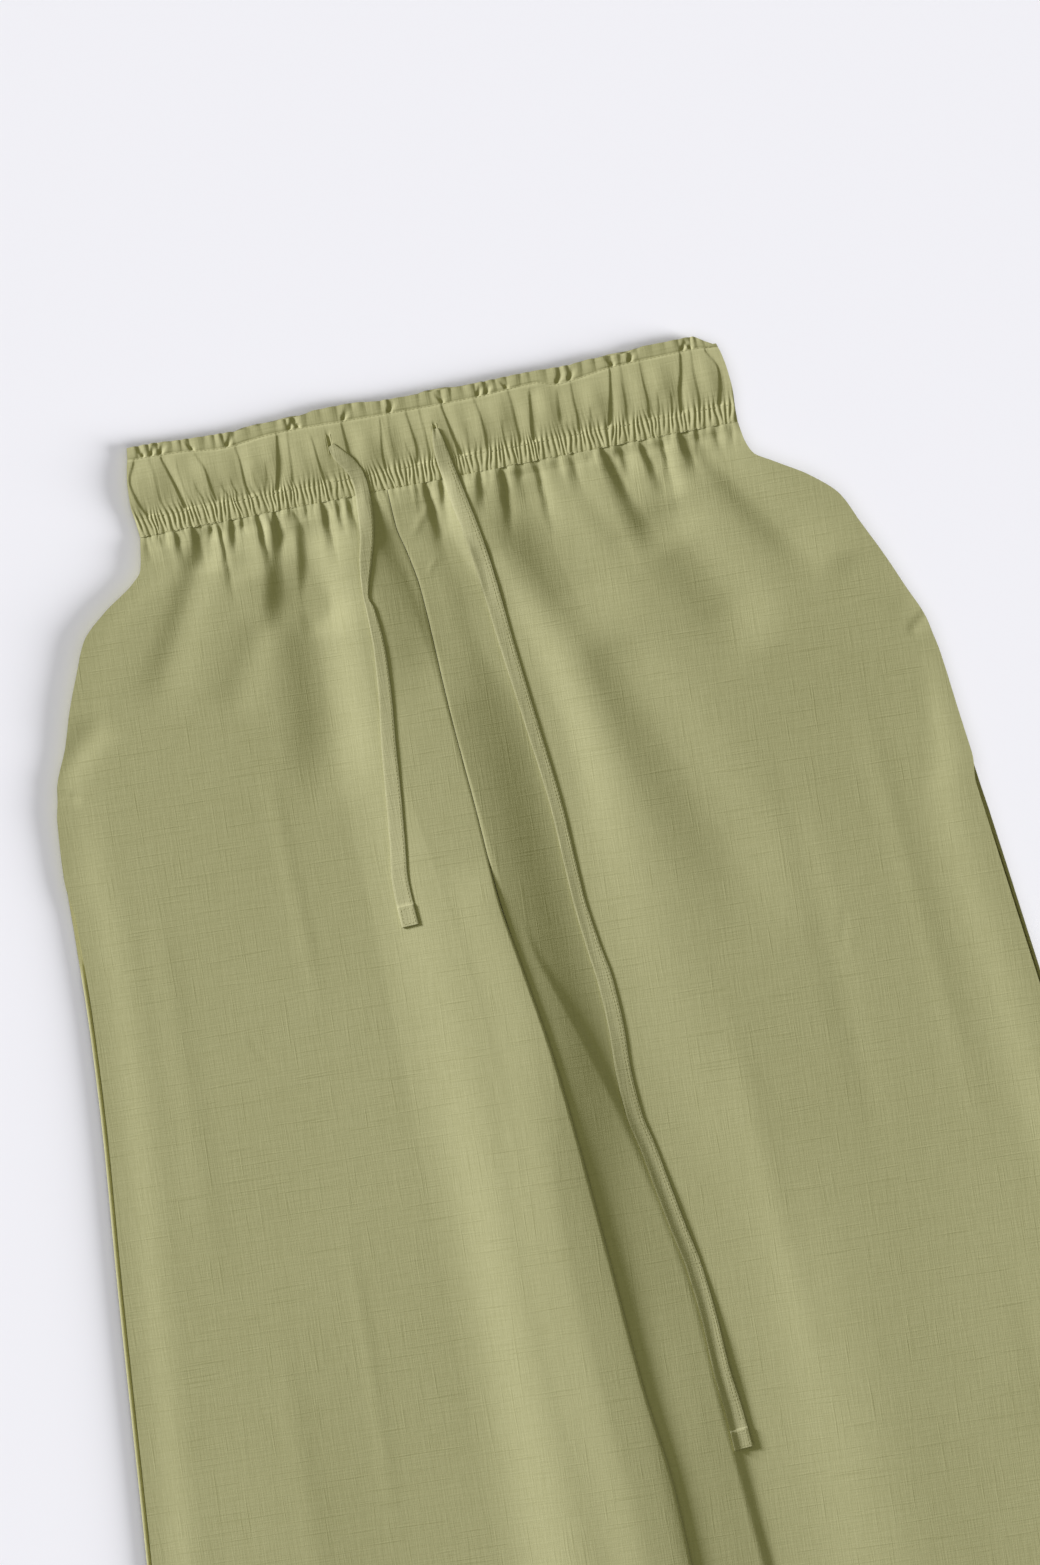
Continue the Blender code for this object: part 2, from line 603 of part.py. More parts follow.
def add_drawstring(name, route, tree, collection):
    """One free end of the drawstring, lying on the cloth below it, with a folded tip."""
    stations = tape_stations(route)
    heights = []
    for u, d, along_u, along_d, width, tip in stations:
        highest = 0.0
        for side in (-0.6, -0.45, -0.3, -0.15, 0.0, 0.15, 0.3, 0.45, 0.6):
            for ahead in (-4.5, -3.0, -1.5, 0.0, 1.5, 3.0, 4.5):
                at_u = u - along_d * width * side + along_u * ahead
                at_d = d + along_u * width * side + along_d * ahead
                highest = max(highest, height_below(tree, at_u, at_d))
        heights.append(highest)
    count = len(heights)
    lifted = [max(heights[max(i - 1, 0):min(i + 2, count)]) for i in range(count)]
    table = []
    for (u, d, along_u, along_d, width, tip), height in zip(stations, lifted):
        thick = TAPE_THICK + (TIP_FOLD if tip else 0.0)
        row = []
        for side in (0.5, 0.0, -0.5):
            at_u = u - along_d * width * side
            at_d = d + along_u * width * side
            row.append((at_u, at_d, height + GAP, thick))
        table.append(row)
    cloth_wall(name, table, GREEN_TAPE, collection)


def main():
    for item in list(bpy.data.objects):
        bpy.data.objects.remove(item, do_unlink=True)
    collection = bpy.data.collections.new("wide_leg_pants")
    bpy.context.scene.collection.children.link(collection)
    add_legs(collection)
    add_waistband(collection)
    bpy.context.view_layer.update()
    top_pieces = [piece for piece in collection.objects if "back" not in piece.name]
    tree = surface_of(top_pieces)
    add_drawstring("drawstring_left", LEFT_TAPE, tree, collection)
    add_drawstring("drawstring_right", RIGHT_TAPE, tree, collection)


main()
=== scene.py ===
# %% [markdown]
# Wide-leg drawstring trousers in pale green linen, laid flat on their back and seen from
# straight above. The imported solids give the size, the outline and the large folds. This
# script dresses them: a thin cloth surface with tucks and gathers, a weave that shows in
# low light, stitched seams and two flat drawstring ends.

# %% Load the frame
import math
import random
from collections import namedtuple

import bpy
import numpy as np
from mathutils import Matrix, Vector
from mathutils.bvhtree import BVHTree


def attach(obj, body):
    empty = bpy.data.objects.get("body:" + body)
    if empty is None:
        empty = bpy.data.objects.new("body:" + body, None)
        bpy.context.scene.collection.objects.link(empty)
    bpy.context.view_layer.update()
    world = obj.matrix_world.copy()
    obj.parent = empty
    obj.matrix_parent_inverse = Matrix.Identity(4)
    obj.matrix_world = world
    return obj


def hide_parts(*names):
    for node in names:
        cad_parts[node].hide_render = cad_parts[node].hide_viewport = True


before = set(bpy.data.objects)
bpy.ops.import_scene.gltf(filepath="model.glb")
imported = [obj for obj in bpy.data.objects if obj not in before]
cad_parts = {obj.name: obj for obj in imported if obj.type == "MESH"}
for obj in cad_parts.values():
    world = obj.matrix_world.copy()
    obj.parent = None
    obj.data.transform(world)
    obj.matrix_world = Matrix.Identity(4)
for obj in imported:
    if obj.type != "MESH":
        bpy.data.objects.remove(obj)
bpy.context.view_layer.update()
print("nodes:", ", ".join(sorted(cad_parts)))

# %% [markdown]
# Cloth is easiest to lay out in the garment's own directions. Here u runs across it to the
# right and d runs down it from the top of the waist, both in millimetres, and z is the
# height over the table. One function turns such a place into metres in the frame, so every
# table below can be read against a ruler laid on the garment.

# %% Sizes of the garment
MM = 0.001
WAIST_TOP = -4.5         # the ruffle's highest place in the solids
STITCH_D = 7.5           # about where the ruffle is stitched off from the casing
CASING_END = 38.0
BAND_FOOT = 50.0
CROTCH_D = 300.0
LEG_END = 1020.0
HEM_DEPTH = 20.0
HEM_TOP = LEG_END - HEM_DEPTH
BAND_LEFT = -174.5
BAND_RIGHT = 175.0
print("garment:", BAND_RIGHT - BAND_LEFT, "mm across the waist,", LEG_END, "mm long")

# %% [markdown]
# A few helpers carry the whole shape. ease is a soft step, bell and lopsided are soft
# bumps, and round_down is a quarter round for a folded edge. They take whole grids of
# places at once, so the large sheets are worked out quickly.


# %% Soft steps and bumps
def ease(x, start, end):
    """Rise smoothly from 0 at start to 1 at end."""
    t = np.clip((np.asarray(x, dtype=float) - start) / (end - start), 0.0, 1.0)
    return t * t * (3 - 2 * t)


def bell(x, width):
    """A soft bump of height 1 that has died away two widths from its middle."""
    return np.exp(-(np.asarray(x, dtype=float) / width) ** 2)


def lopsided(x, left, right):
    """A soft bump of height 1 with its own width on each side."""
    return np.where(x < 0, bell(x, left), bell(x, right))


def round_down(distance, width):
    """A quarter round: 0 at the edge, 1 from width on."""
    t = np.clip(np.asarray(distance, dtype=float) / width, 0.0, 1.0)
    return np.sqrt(1 - (1 - t) ** 2)


print("a soft step is", float(ease(0.25, 0, 1)), "high after a quarter of its way")

# %% [markdown]
# An outline is a smooth curve through a short table of places. The curve is a cubic
# between two points. Its slope at each point is the harmonic mean of the slopes on both
# sides, which keeps it from overshooting, so a table needs only the points where the bend
# changes.


# %% A smooth curve through a table
def smooth_curve(points):
    """Give a function that runs smoothly through (place, value) points."""
    places = np.array([p[0] for p in points], dtype=float)
    values = np.array([p[1] for p in points], dtype=float)
    steps = np.diff(places)
    rises = np.diff(values) / steps
    slopes = np.zeros(len(places))
    slopes[0], slopes[-1] = rises[0], rises[-1]
    for i in range(1, len(rises)):
        before, after = rises[i - 1], rises[i]
        if before * after > 0:
            slopes[i] = 2 * before * after / (before + after)

    def value(x):
        x = np.clip(np.asarray(x, dtype=float), places[0], places[-1])
        i = np.clip(np.searchsorted(places, x, side="right") - 1, 0, len(steps) - 1)
        t = (x - places[i]) / steps[i]
        start = values[i] * (1 + 2 * t) * (1 - t) ** 2 + slopes[i] * steps[i] * t * (1 - t) ** 2
        end = values[i + 1] * t * t * (3 - 2 * t)
        end = end + slopes[i + 1] * steps[i] * t * t * (t - 1)
        return start + end

    return value


def column_curve(table, column):
    """A smooth curve down the garment through one named column of a table."""
    return smooth_curve([(row.d, getattr(row, column)) for row in table])


print("a smooth curve halfway:", float(smooth_curve([(0, 0), (1, 1), (2, 1)])(0.5)))

# %% [markdown]
# The outline was measured in the picture, at the places where its bend changes. Below the
# picture's lower edge the legs go on at the same slope. The two legs meet on the centre
# line, which leans and bows because the garment isn't laid down quite straight.

# %% Outline and centre line
Section = namedtuple("Section", "d left right")
OUTLINE = [
    Section(50, -174.5, 175.0), Section(60, -176.0, 176.5), Section(69, -178.0, 180.0),
    Section(76, -184.5, 190.5), Section(88, -202.0, 209.5), Section(102, -217.0, 224.5),
    Section(120, -225.0, 233.0), Section(140, -233.0, 242.5), Section(160, -239.5, 251.0),
    Section(182, -248.5, 260.0), Section(190, -249.8, 261.5), Section(200, -252.0, 263.5),
    Section(240, -255.0, 268.0), Section(300, -256.2, 275.0), Section(360, -259.5, 282.0),
    Section(480, -270.5, 296.0), Section(620, -282.5, 312.0), Section(1020, -319.5, 358.5),
]
SeamPoint = namedtuple("SeamPoint", "d u")
CENTRE_LINE = [
    SeamPoint(50, -30.0), SeamPoint(72, -29.0), SeamPoint(88, -25.5), SeamPoint(110, -22.0),
    SeamPoint(180, -19.0), SeamPoint(240, -15.0), SeamPoint(290, -12.0), SeamPoint(340, -5.0),
    SeamPoint(385, 1.5), SeamPoint(440, 6.5), SeamPoint(520, 12.0), SeamPoint(580, 16.0),
    SeamPoint(650, 23.0), SeamPoint(1020, 30.0),
]
left_outline = column_curve(OUTLINE, "left")
right_outline = column_curve(OUTLINE, "right")
centre_line = smooth_curve(CENTRE_LINE)
print("hem:", round(float(right_outline(LEG_END) - left_outline(LEG_END))), "mm across both legs")

# %% [markdown]
# The frame's origin lies under the middle of the garment's box. A place on the garment is
# moved there and turned into metres, with the waist towards +Y.

# %% From the garment to the frame
MIDDLE_U = float(left_outline(LEG_END) + right_outline(LEG_END)) / 2
MIDDLE_D = (WAIST_TOP + LEG_END) / 2


def place(u, d, z):
    """Turn a place on the garment into metres in the frame."""
    return Vector(((u - MIDDLE_U) * MM, (MIDDLE_D - d) * MM, z * MM))


print("the middle of the garment is", round(MIDDLE_U, 2), "right and", MIDDLE_D, "down")

# %% [markdown]
# The picture is taken from straight above with the garment turned 11 degrees. A long lens
# keeps the view nearly parallel. The camera stands over the place that lies in the middle
# of the picture, and it is rolled instead of turning the garment.

# %% Camera
TURN = math.radians(11.0)
PICTURE_MIDDLE_U = 12.8
PICTURE_MIDDLE_D = 229.5
PICTURE_HEIGHT = 0.900
CAMERA_HEIGHT = 2.6
SENSOR = 36.0

camera_data = bpy.data.cameras.new("Camera")
camera = bpy.data.objects.new("Camera", camera_data)
bpy.context.scene.collection.objects.link(camera)
camera.location = place(PICTURE_MIDDLE_U, PICTURE_MIDDLE_D, CAMERA_HEIGHT / MM)
camera.rotation_euler = (0, 0, -TURN)
camera_data.sensor_fit = "VERTICAL"
camera_data.sensor_height = SENSOR
camera_data.lens = SENSOR * CAMERA_HEIGHT / PICTURE_HEIGHT
camera_data.clip_end = 20.0
bpy.context.scene.camera = camera
print("camera lens:", round(camera_data.lens, 1), "mm")

# %% [markdown]
# The floor is a plain pale sheet, as the surface in the picture. It is matt and a little
# cool, and it lies just below the garment so that no two faces share a plane.

# %% Floor
FLOOR_SIZE = 8.0
FLOOR_DROP = 0.6
PAPER_WHITE = (0.86, 0.855, 0.895, 1.0)

bpy.ops.object.select_all(action="DESELECT")
bpy.ops.mesh.primitive_plane_add(size=FLOOR_SIZE, location=(0, 0, -FLOOR_DROP * MM))
floor = bpy.context.object
floor.name = "floor"
floor_paint = bpy.data.materials.new("floor_paper")
floor_paint.use_nodes = True
paper = floor_paint.node_tree.nodes["Principled BSDF"]
paper.inputs["Base Color"].default_value = PAPER_WHITE
paper.inputs["Roughness"].default_value = 0.95
paper.inputs["Specular IOR Level"].default_value = 0.1
floor.data.materials.append(floor_paint)
print("floor:", FLOOR_SIZE, "m across")

# %% [markdown]
# Light from far away falls at one angle on the whole garment, and its spread says how soft
# a shadow's edge is. Its direction is given as in the picture, which is turned against the
# frame. Light linking lets a light reach only the floor or only the garment, so that each
# gets its own brightness.


# %% A distant light
def picture_direction(right, up):
    """A direction on the floor, given as right and up in the picture."""
    x = right * math.cos(-TURN) - up * math.sin(-TURN)
    y = right * math.sin(-TURN) + up * math.cos(-TURN)
    length = math.hypot(x, y)
    return (x / length, y / length)


def far_light(name, toward, height_deg, spread_deg, strength, colour):
    """Add a distant light from a compass direction and a height, as wide as spread_deg."""
    data = bpy.data.lights.new(name, "SUN")
    data.angle = math.radians(spread_deg)
    data.energy = strength
    data.color = colour
    light = bpy.data.objects.new(name, data)
    bpy.context.scene.collection.objects.link(light)
    tilt = math.radians(height_deg)
    direction = Vector((toward[0] * math.cos(tilt), toward[1] * math.cos(tilt), math.sin(tilt)))
    light.location = direction * 3.0
    light.rotation_euler = direction.to_track_quat("Z", "Y").to_euler()
    return light


def light_only(light, target, keep):
    """Let a light reach only the target, or with keep False everything but the target."""
    group = bpy.data.collections.new(light.name + "_reach")
    group.objects.link(target)
    light.light_linking.receiver_collection = group
    group.collection_objects[0].light_linking.link_state = "INCLUDE" if keep else "EXCLUDE"


print("the picture's right is", [round(x, 2) for x in picture_direction(1.0, 0.0)], "in the frame")

# %% [markdown]
# A low, broad light from the picture's upper left draws the folds, as a window would. A
# very broad warm fill from above stands for the light that goes from cloth to cloth, and
# keeps the shaded sides open. The floor has two lights of its own. The standard view
# transform keeps the cloth's colours as they are set.

# %% Lights of the room
WHITE = (1.0, 1.0, 1.0)
window = far_light("window", picture_direction(-0.93, 0.36), height_deg=17, spread_deg=14,
                   strength=6.12, colour=(1.0, 0.99, 1.11))
light_only(window, floor, keep=False)
fill = far_light("fill", picture_direction(0.0, 1.0), height_deg=85, spread_deg=120,
                 strength=0.7, colour=(1.0, 1.0, 0.44))
light_only(fill, floor, keep=False)
screen = far_light("screen", picture_direction(0.98, -0.18), height_deg=16, spread_deg=26,
                   strength=5.2, colour=WHITE)
light_only(screen, floor, keep=True)
overhead = far_light("overhead", picture_direction(0.3, 0.2), height_deg=85, spread_deg=120,
                     strength=1.42, colour=WHITE)
light_only(overhead, floor, keep=True)

world = bpy.data.worlds.new("pale_room")
bpy.context.scene.world = world
world.use_nodes = True
room = world.node_tree.nodes["Background"]
room.inputs["Color"].default_value = (0.96, 0.97, 1.0, 1.0)
room.inputs["Strength"].default_value = 0.12
bpy.context.scene.view_settings.view_transform = "Standard"

# %% [markdown]
# Linen is a plain weave of uneven threads. Up close it shows fine lines both ways, short
# thick stretches of thread called slubs, and a slight change of tone from place to place.
# Noise stretched along one direction makes threads: one for the warp, one for the weft.
# Such a pattern takes many nodes, so a few short functions add and link them.


# %% Nodes of a pattern
def new_node(tree, kind, **inputs):
    """Add a node and set its named inputs, where an underscore stands for a space."""
    node = tree.nodes.new(kind)
    for key, value in inputs.items():
        node.inputs[key.replace("_", " ")].default_value = value
    return node


def stretched_noise(tree, vector, scale, detail, name):
    """Noise drawn out along one direction by unlike scales."""
    mapping = new_node(tree, "ShaderNodeMapping", Scale=scale)
    noise = new_node(tree, "ShaderNodeTexNoise", Scale=1.0, Detail=detail, Roughness=0.55)
    noise.label = name
    tree.links.new(vector, mapping.inputs["Vector"])
    tree.links.new(mapping.outputs["Vector"], noise.inputs["Vector"])
    return noise.outputs["Fac"]


def math_node(tree, operation, first, second, third=None):
    """A Math node on sockets or numbers."""
    node = tree.nodes.new("ShaderNodeMath")
    node.operation = operation
    for slot, value in enumerate((first, second, third)):
        if value is None:
            continue
        if isinstance(value, bpy.types.NodeSocket):
            tree.links.new(value, node.inputs[slot])
        else:
            node.inputs[slot].default_value = value
    return node.outputs["Value"]


def map_range(tree, value, low, high, to_low=0.0, to_high=1.0):
    """Stretch a value's range, with its ends cut off."""
    node = new_node(tree, "ShaderNodeMapRange", From_Min=low, From_Max=high, To_Min=to_low,
                    To_Max=to_high)
    tree.links.new(value, node.inputs["Value"])
    return node.outputs["Result"]


print("helpers:", [helper.__name__ for helper in (stretched_noise, math_node, map_range)])

# %% [markdown]
# Slubs are the few places where long, thin noise is at its highest, both ways. A thread's
# colour goes from a shaded one, down between the threads, to a lit one on top of them.


# %% Slubs and the colour of a thread
def weave_slubs(group, vector, amount):
    """Where the thick stretches of thread lie, both ways, as strong as amount says."""
    long_weft = stretched_noise(group, vector, (22, 640, 22), 1.0, "weft slubs")
    long_warp = stretched_noise(group, vector, (640, 22, 22), 1.0, "warp slubs")
    slub_weft = map_range(group, long_weft, 0.62, 0.72)
    slub_warp = map_range(group, long_warp, 0.64, 0.74)
    slubs = math_node(group, "MAXIMUM", slub_weft, slub_warp)
    return math_node(group, "MULTIPLY", slubs, amount)


def thread_colour(group, mix, shade, lit):
    """Go from the shaded thread's colour to the lit one's as mix says."""
    colour = group.nodes.new("ShaderNodeMix")
    colour.data_type = "RGBA"
    colour.clamp_factor = True
    group.links.new(mix, colour.inputs["Factor"])
    group.links.new(shade, colour.inputs["A"])
    group.links.new(lit, colour.inputs["B"])
    return colour.outputs["Result"]


print("helpers:", [helper.__name__ for helper in (weave_slubs, thread_colour)])

# %% [markdown]
# Every cloth here shares one weave, so the weave is a node group, and each material gives
# it its own colours and strength. It puts out a colour, a roughness and the height of the
# threads.

# %% Linen weave group
WEAVE_SOCKETS = [
    ("Vector", "INPUT", "NodeSocketVector"), ("Shade thread", "INPUT", "NodeSocketColor"),
    ("Lit thread", "INPUT", "NodeSocketColor"), ("Slubs", "INPUT", "NodeSocketFloat"),
    ("Color", "OUTPUT", "NodeSocketColor"), ("Roughness", "OUTPUT", "NodeSocketFloat"),
    ("Height", "OUTPUT", "NodeSocketFloat"),
]


def make_weave_group():
    """The linen weave: tone, slubs and height of the threads."""
    group = bpy.data.node_groups.new("linen_weave", "ShaderNodeTree")
    for name, way, kind in WEAVE_SOCKETS:
        group.interface.new_socket(name=name, in_out=way, socket_type=kind)
    start = group.nodes.new("NodeGroupInput").outputs
    end = group.nodes.new("NodeGroupOutput").inputs
    weft = stretched_noise(group, start["Vector"], (70, 1250, 70), 2.0, "weft threads")
    warp = stretched_noise(group, start["Vector"], (1250, 70, 70), 2.0, "warp threads")
    grain = stretched_noise(group, start["Vector"], (1500, 1500, 1500), 1.0, "grain")
    tone = stretched_noise(group, start["Vector"], (7, 5, 7), 2.0, "tone")
    slubs = weave_slubs(group, start["Vector"], start["Slubs"])
    threads = math_node(group, "ADD", weft, warp)
    mix = math_node(group, "ADD", map_range(group, threads, 0.7, 1.3, -0.16, 0.16),
                    map_range(group, grain, 0.3, 0.7, -0.10, 0.10))
    mix = math_node(group, "ADD", mix, map_range(group, tone, 0.3, 0.7, 0.38, 0.62))
    mix = math_node(group, "MULTIPLY_ADD", slubs, -0.26, mix)
    colour = thread_colour(group, mix, start["Shade thread"], start["Lit thread"])
    height = math_node(group, "MULTIPLY_ADD", slubs, 0.55, threads)
    height = math_node(group, "MULTIPLY_ADD", grain, 0.35, height)
    group.links.new(colour, end["Color"])
    group.links.new(map_range(group, threads, 0.7, 1.3, 0.88, 0.78), end["Roughness"])
    group.links.new(height, end["Height"])
    return group


weave_group = make_weave_group()
print("weave group nodes:", len(weave_group.nodes))

# %% [markdown]
# Four finishes use the weave: the front panels, the back panels, the waistband and the
# drawstring tape. The sewing thread is the same without slubs. They are one dye lot, so
# their colours differ only a little. A faint sheen stands for the loose fibres that catch
# light at a low angle.


# %% Cloth materials
def linen(name, shade, lit, slubs, bump, turn_deg=0.0):
    """A linen material that reads the weave group on Object coordinates."""
    material = bpy.data.materials.new(name)
    material.use_nodes = True
    tree = material.node_tree
    shader = tree.nodes["Principled BSDF"]
    shader.inputs["Sheen Weight"].default_value = 0.12
    shader.inputs["Sheen Roughness"].default_value = 0.5
    shader.inputs["Specular IOR Level"].default_value = 0.22
    where = tree.nodes.new("ShaderNodeTexCoord")
    turn = new_node(tree, "ShaderNodeMapping", Rotation=(0, 0, math.radians(turn_deg)))
    weave = tree.nodes.new("ShaderNodeGroup")
    weave.node_tree = weave_group
    weave.inputs["Shade thread"].default_value = (*shade, 1.0)
    weave.inputs["Lit thread"].default_value = (*lit, 1.0)
    weave.inputs["Slubs"].default_value = slubs
    relief_node = new_node(tree, "ShaderNodeBump", Strength=bump, Distance=0.0003)
    tree.links.new(where.outputs["Object"], turn.inputs["Vector"])
    tree.links.new(turn.outputs["Vector"], weave.inputs["Vector"])
    tree.links.new(weave.outputs["Color"], shader.inputs["Base Color"])
    tree.links.new(weave.outputs["Roughness"], shader.inputs["Roughness"])
    tree.links.new(weave.outputs["Height"], relief_node.inputs["Height"])
    tree.links.new(relief_node.outputs["Normal"], shader.inputs["Normal"])
    return material


SHADE = (0.319, 0.312, 0.153)
LIT = (0.425, 0.417, 0.229)
linen_front = linen("linen_front", SHADE, LIT, slubs=0.7, bump=0.35, turn_deg=2.0)
linen_back = linen("linen_back", (0.30, 0.29, 0.135), (0.40, 0.385, 0.20), slubs=0.6, bump=0.3)
linen_waist = linen("linen_waist", (0.328, 0.320, 0.157), (0.442, 0.430, 0.236),
                    slubs=0.4, bump=0.35)
linen_tape = linen("linen_tape", (0.313, 0.304, 0.155), (0.42, 0.41, 0.235), slubs=0.4, bump=0.5)
thread = linen("sewing_thread", (0.31, 0.30, 0.145), (0.40, 0.39, 0.205), slubs=0.0, bump=0.1)
print("cloth materials:", [m.name for m in bpy.data.materials if "linen" in m.name])

# %% [markdown]
# The legs' folds come in three sizes, and each fold is one row of a table. The large soft
# ones run down the legs and out to the hips. A row says where the fold starts and ends,
# how far it bows, how wide it is on its left and right, how much it widens, how crisp it
# is and how high. A negative height is a trough.

# %% Large folds of the legs
Fold = namedtuple("Fold", "u0 d0 u1 d1 bow left right widen crisp height")
FOLDS = [
    Fold(-135.5, 56, -184, 148, 0, 6, 8, 0.8, 0.3, -1.2),
    Fold(-92.5, 54, -103, 116, 0, 4.6, 20, 0.8, 0.8, -2.7),
    Fold(-116, 112, -142, 160, 0, 9, 9, 0.3, 0.1, -0.8),
    Fold(-81, 60, -86, 122, 0, 3, 12, 0.8, 0.8, -2.4),
    Fold(-138, 48, -142, 76, 0, 8, 12, 0.1, 0.5, -1.4),
    Fold(-116, 48, -120, 84, 0, 7, 10, 0.1, 0.6, -1.4),
    Fold(15, 46, 19, 126, 0, 18, 18, 0.0, 0.6, 1.2),
    Fold(-4, 48, -2, 110, 0, 9, 9, 0.0, 0.7, -0.4),
    Fold(127, 48, 129, 84, 0, 6.5, 8, 0.1, 0.6, -1.4),
    Fold(-28, 64, -18, 172, 0, 17, 24, 0.2, 0.7, -2.7),
    Fold(-86, 88, -94, 215, 3, 15, 18, 0.1, 0.6, -3.0),
    Fold(-215, 150, -250, 184, -3, 9, 9, 0.0, 0.0, -1.0),
    Fold(-251, 184, -236, 190, 0, 5.0, 1.3, 0.0, 0.0, -0.5),
    Fold(43, 50, 71, 152, 0, 14, 20, 0.3, 0.8, -3.4),
    Fold(72, 148, 140, 330, 0, 15, 18, 0.5, 0.5, -2.9),
    Fold(76, 66, 104, 116, 0, 6, 6, 0.5, 0.2, -0.8),
    Fold(98, 50, 119, 112, 0, 5, 12, 0.9, 0.8, -2.6),
    Fold(121, 88, 162, 174, 0, 15, 15, 0.2, 0.6, -2.7),
    Fold(147, 46, 208, 140, -4, 6, 10, 0.9, 0.4, -2.5),
    Fold(215, 140, 260, 176, 4, 10, 8, 0.2, 0.0, -1.0),
    Fold(248, 187, 262, 176, 0, 1.3, 5.0, 0.0, 0.0, -0.5),
    Fold(2, 330, 60, 625, 12, 18, 2.6, 1.0, 0.5, 2.2),
    Fold(54, 560, 76, 860, 0, 28, 3.0, 0.3, 0.5, 2.4),
    Fold(16, 425, 44, 1100, 2, 6, 14, 0.2, 0.2, -1.1),
    Fold(140, 520, 168, 1180, 0, 40, 50, 0.0, 0.0, 1.2),
    Fold(-190, 520, -214, 1180, 0, 40, 40, 0.0, 0.0, 1.0),
    Fold(-3, 58, 20, 175, 0, 8, 6, 0.5, 0.4, -1.9),
    Fold(-37, 60, -14, 150, 0, 6, 12, 0.3, 0.3, -1.2),
]
print(len(FOLDS), "large folds, the highest", max(fold.height for fold in FOLDS), "mm")

# %% [markdown]
# Between the large folds the cloth isn't flat either. Long faint ripples run down each
# leg, with a few short marks where the cloth was creased.

# %% Ripples and marks
RIPPLES = [
    Fold(-168, 345, -158, 362, 0, 1.6, 1.6, 0.0, 0.0, -0.22),
    Fold(182, 338, 176, 358, 0, 1.8, 1.8, 0.0, 0.0, -0.22),
    Fold(-135, 470, -140, 640, 2, 4, 4, 0.2, 0.0, 0.25),
    Fold(-128, 200, -124, 330, 0, 5, 5, 0.0, 0.0, 0.3),
    Fold(-205, 260, -212, 480, 0, 7, 7, 0.3, 0.0, 0.3),
    Fold(-184, 520, -196, 800, 3, 8, 8, 0.1, 0.0, 0.3),
    Fold(105, 390, 118, 610, 0, 8, 8, 0.2, 0.0, 0.4),
    Fold(160, 250, 176, 480, 2, 8, 8, 0.2, 0.0, -0.4),
    Fold(214, 230, 236, 470, 0, 7, 7, 0.1, 0.0, 0.4),
    Fold(238, 560, 262, 840, -2, 8, 8, 0.1, 0.0, -0.3),
    Fold(-240, 640, -262, 940, 0, 8, 8, 0.0, 0.0, -0.3),
    Fold(-148, 700, -156, 960, 2, 9, 9, 0.0, 0.0, 0.4),
    Fold(176, 720, 190, 980, 0, 9, 9, 0.0, 0.0, 0.4),
    Fold(-20, 78, -8, 63, 0, 2.2, 2.0, 0.0, 0.3, 0.35),
    Fold(-16, 102, -10, 94, 0, 1.6, 1.2, 0.0, 0.3, 0.25),
]
print(len(RIPPLES), "ripples and marks, at most", max(fold.height for fold in RIPPLES), "mm high")

# %% [markdown]
# Across a fold its height dies away as a soft bell. A crisp fold has two almost flat sides
# instead, as pressed cloth does, and most folds are a mix of both. Each fold fades in and
# out over a part of its length.

# %% Shape of one fold
FADE_IN = (-0.12, 0.2)   # shares of a fold's length
FADE_OUT = (0.72, 1.12)


def slope(x, start, end, even):
    """Go from 0 to 1, as a soft step with even 0 or almost as a flat plane with even 1."""
    t = np.clip((x - start) / (end - start), 0.0, 1.0)
    return t - (1 - 0.65 * even) * np.sin(2 * np.pi * t) / (2 * np.pi)


def fold_height(fold, u, d):
    """What one fold adds at each place."""
    run_u, run_d = fold.u1 - fold.u0, fold.d1 - fold.d0
    length = math.hypot(run_u, run_d)
    along = ((u - fold.u0) * run_u + (d - fold.d0) * run_d) / length ** 2
    side = 1 if run_d > 0 else -1
    across = side * ((u - fold.u0) * run_d - (d - fold.d0) * run_u) / length
    t = np.clip(along, 0.0, 1.0)
    across = across - fold.bow * 4 * t * (1 - t)
    width = np.where(across < 0, fold.left, fold.right) * (1 + fold.widen * t)
    ends = ease(along, *FADE_IN) * (1 - ease(along, *FADE_OUT))
    soft = bell(across, width)
    flat_sided = 1 - slope(np.abs(across), 0.0, 1.7 * width, 0.8)
    return fold.height * ends * (soft * (1 - fold.crisp) + flat_sided * fold.crisp)


print("a fold fades in over", round(FADE_IN[1] - FADE_IN[0], 2), "of its length")

# %% [markdown]
# One broad crest runs down the left leg, with a valley to the right of it, between the
# legs. Both wander and change on their way down. So each row of the table gives, for one
# distance from the waist, the places of the crest's foot and top, of the valley and of the
# end of its far side, and then the crest's height and the valley's depth.

# %% Crest and valley between the legs
Crest = namedtuple("Crest", "d foot top valley back height depth")
CRESTS = [
    Crest(70, -80, -66, -26, 10, 0.8, 1.2), Crest(100, -80, -62, 7, 36, 1.0, 4.3),
    Crest(160, -86, -61, 25, 62, 2.4, 6.4), Crest(220, -87, -52, 33, 74, 3.6, 6.6),
    Crest(300, -85, -40, 34, 88, 5.2, 4.4), Crest(360, -84, -34, 37, 98, 6.0, 3.4),
    Crest(440, -84, -30, 50, 118, 6.6, 3.4), Crest(560, -84, -28, 72, 150, 7.0, 3.6),
    Crest(1020, -88, -20, 92, 170, 7.0, 2.4),
]
crest_foot = column_curve(CRESTS, "foot")
crest_top = column_curve(CRESTS, "top")
valley_line = column_curve(CRESTS, "valley")
valley_back = column_curve(CRESTS, "back")
crest_height = column_curve(CRESTS, "height")
valley_depth = column_curve(CRESTS, "depth")


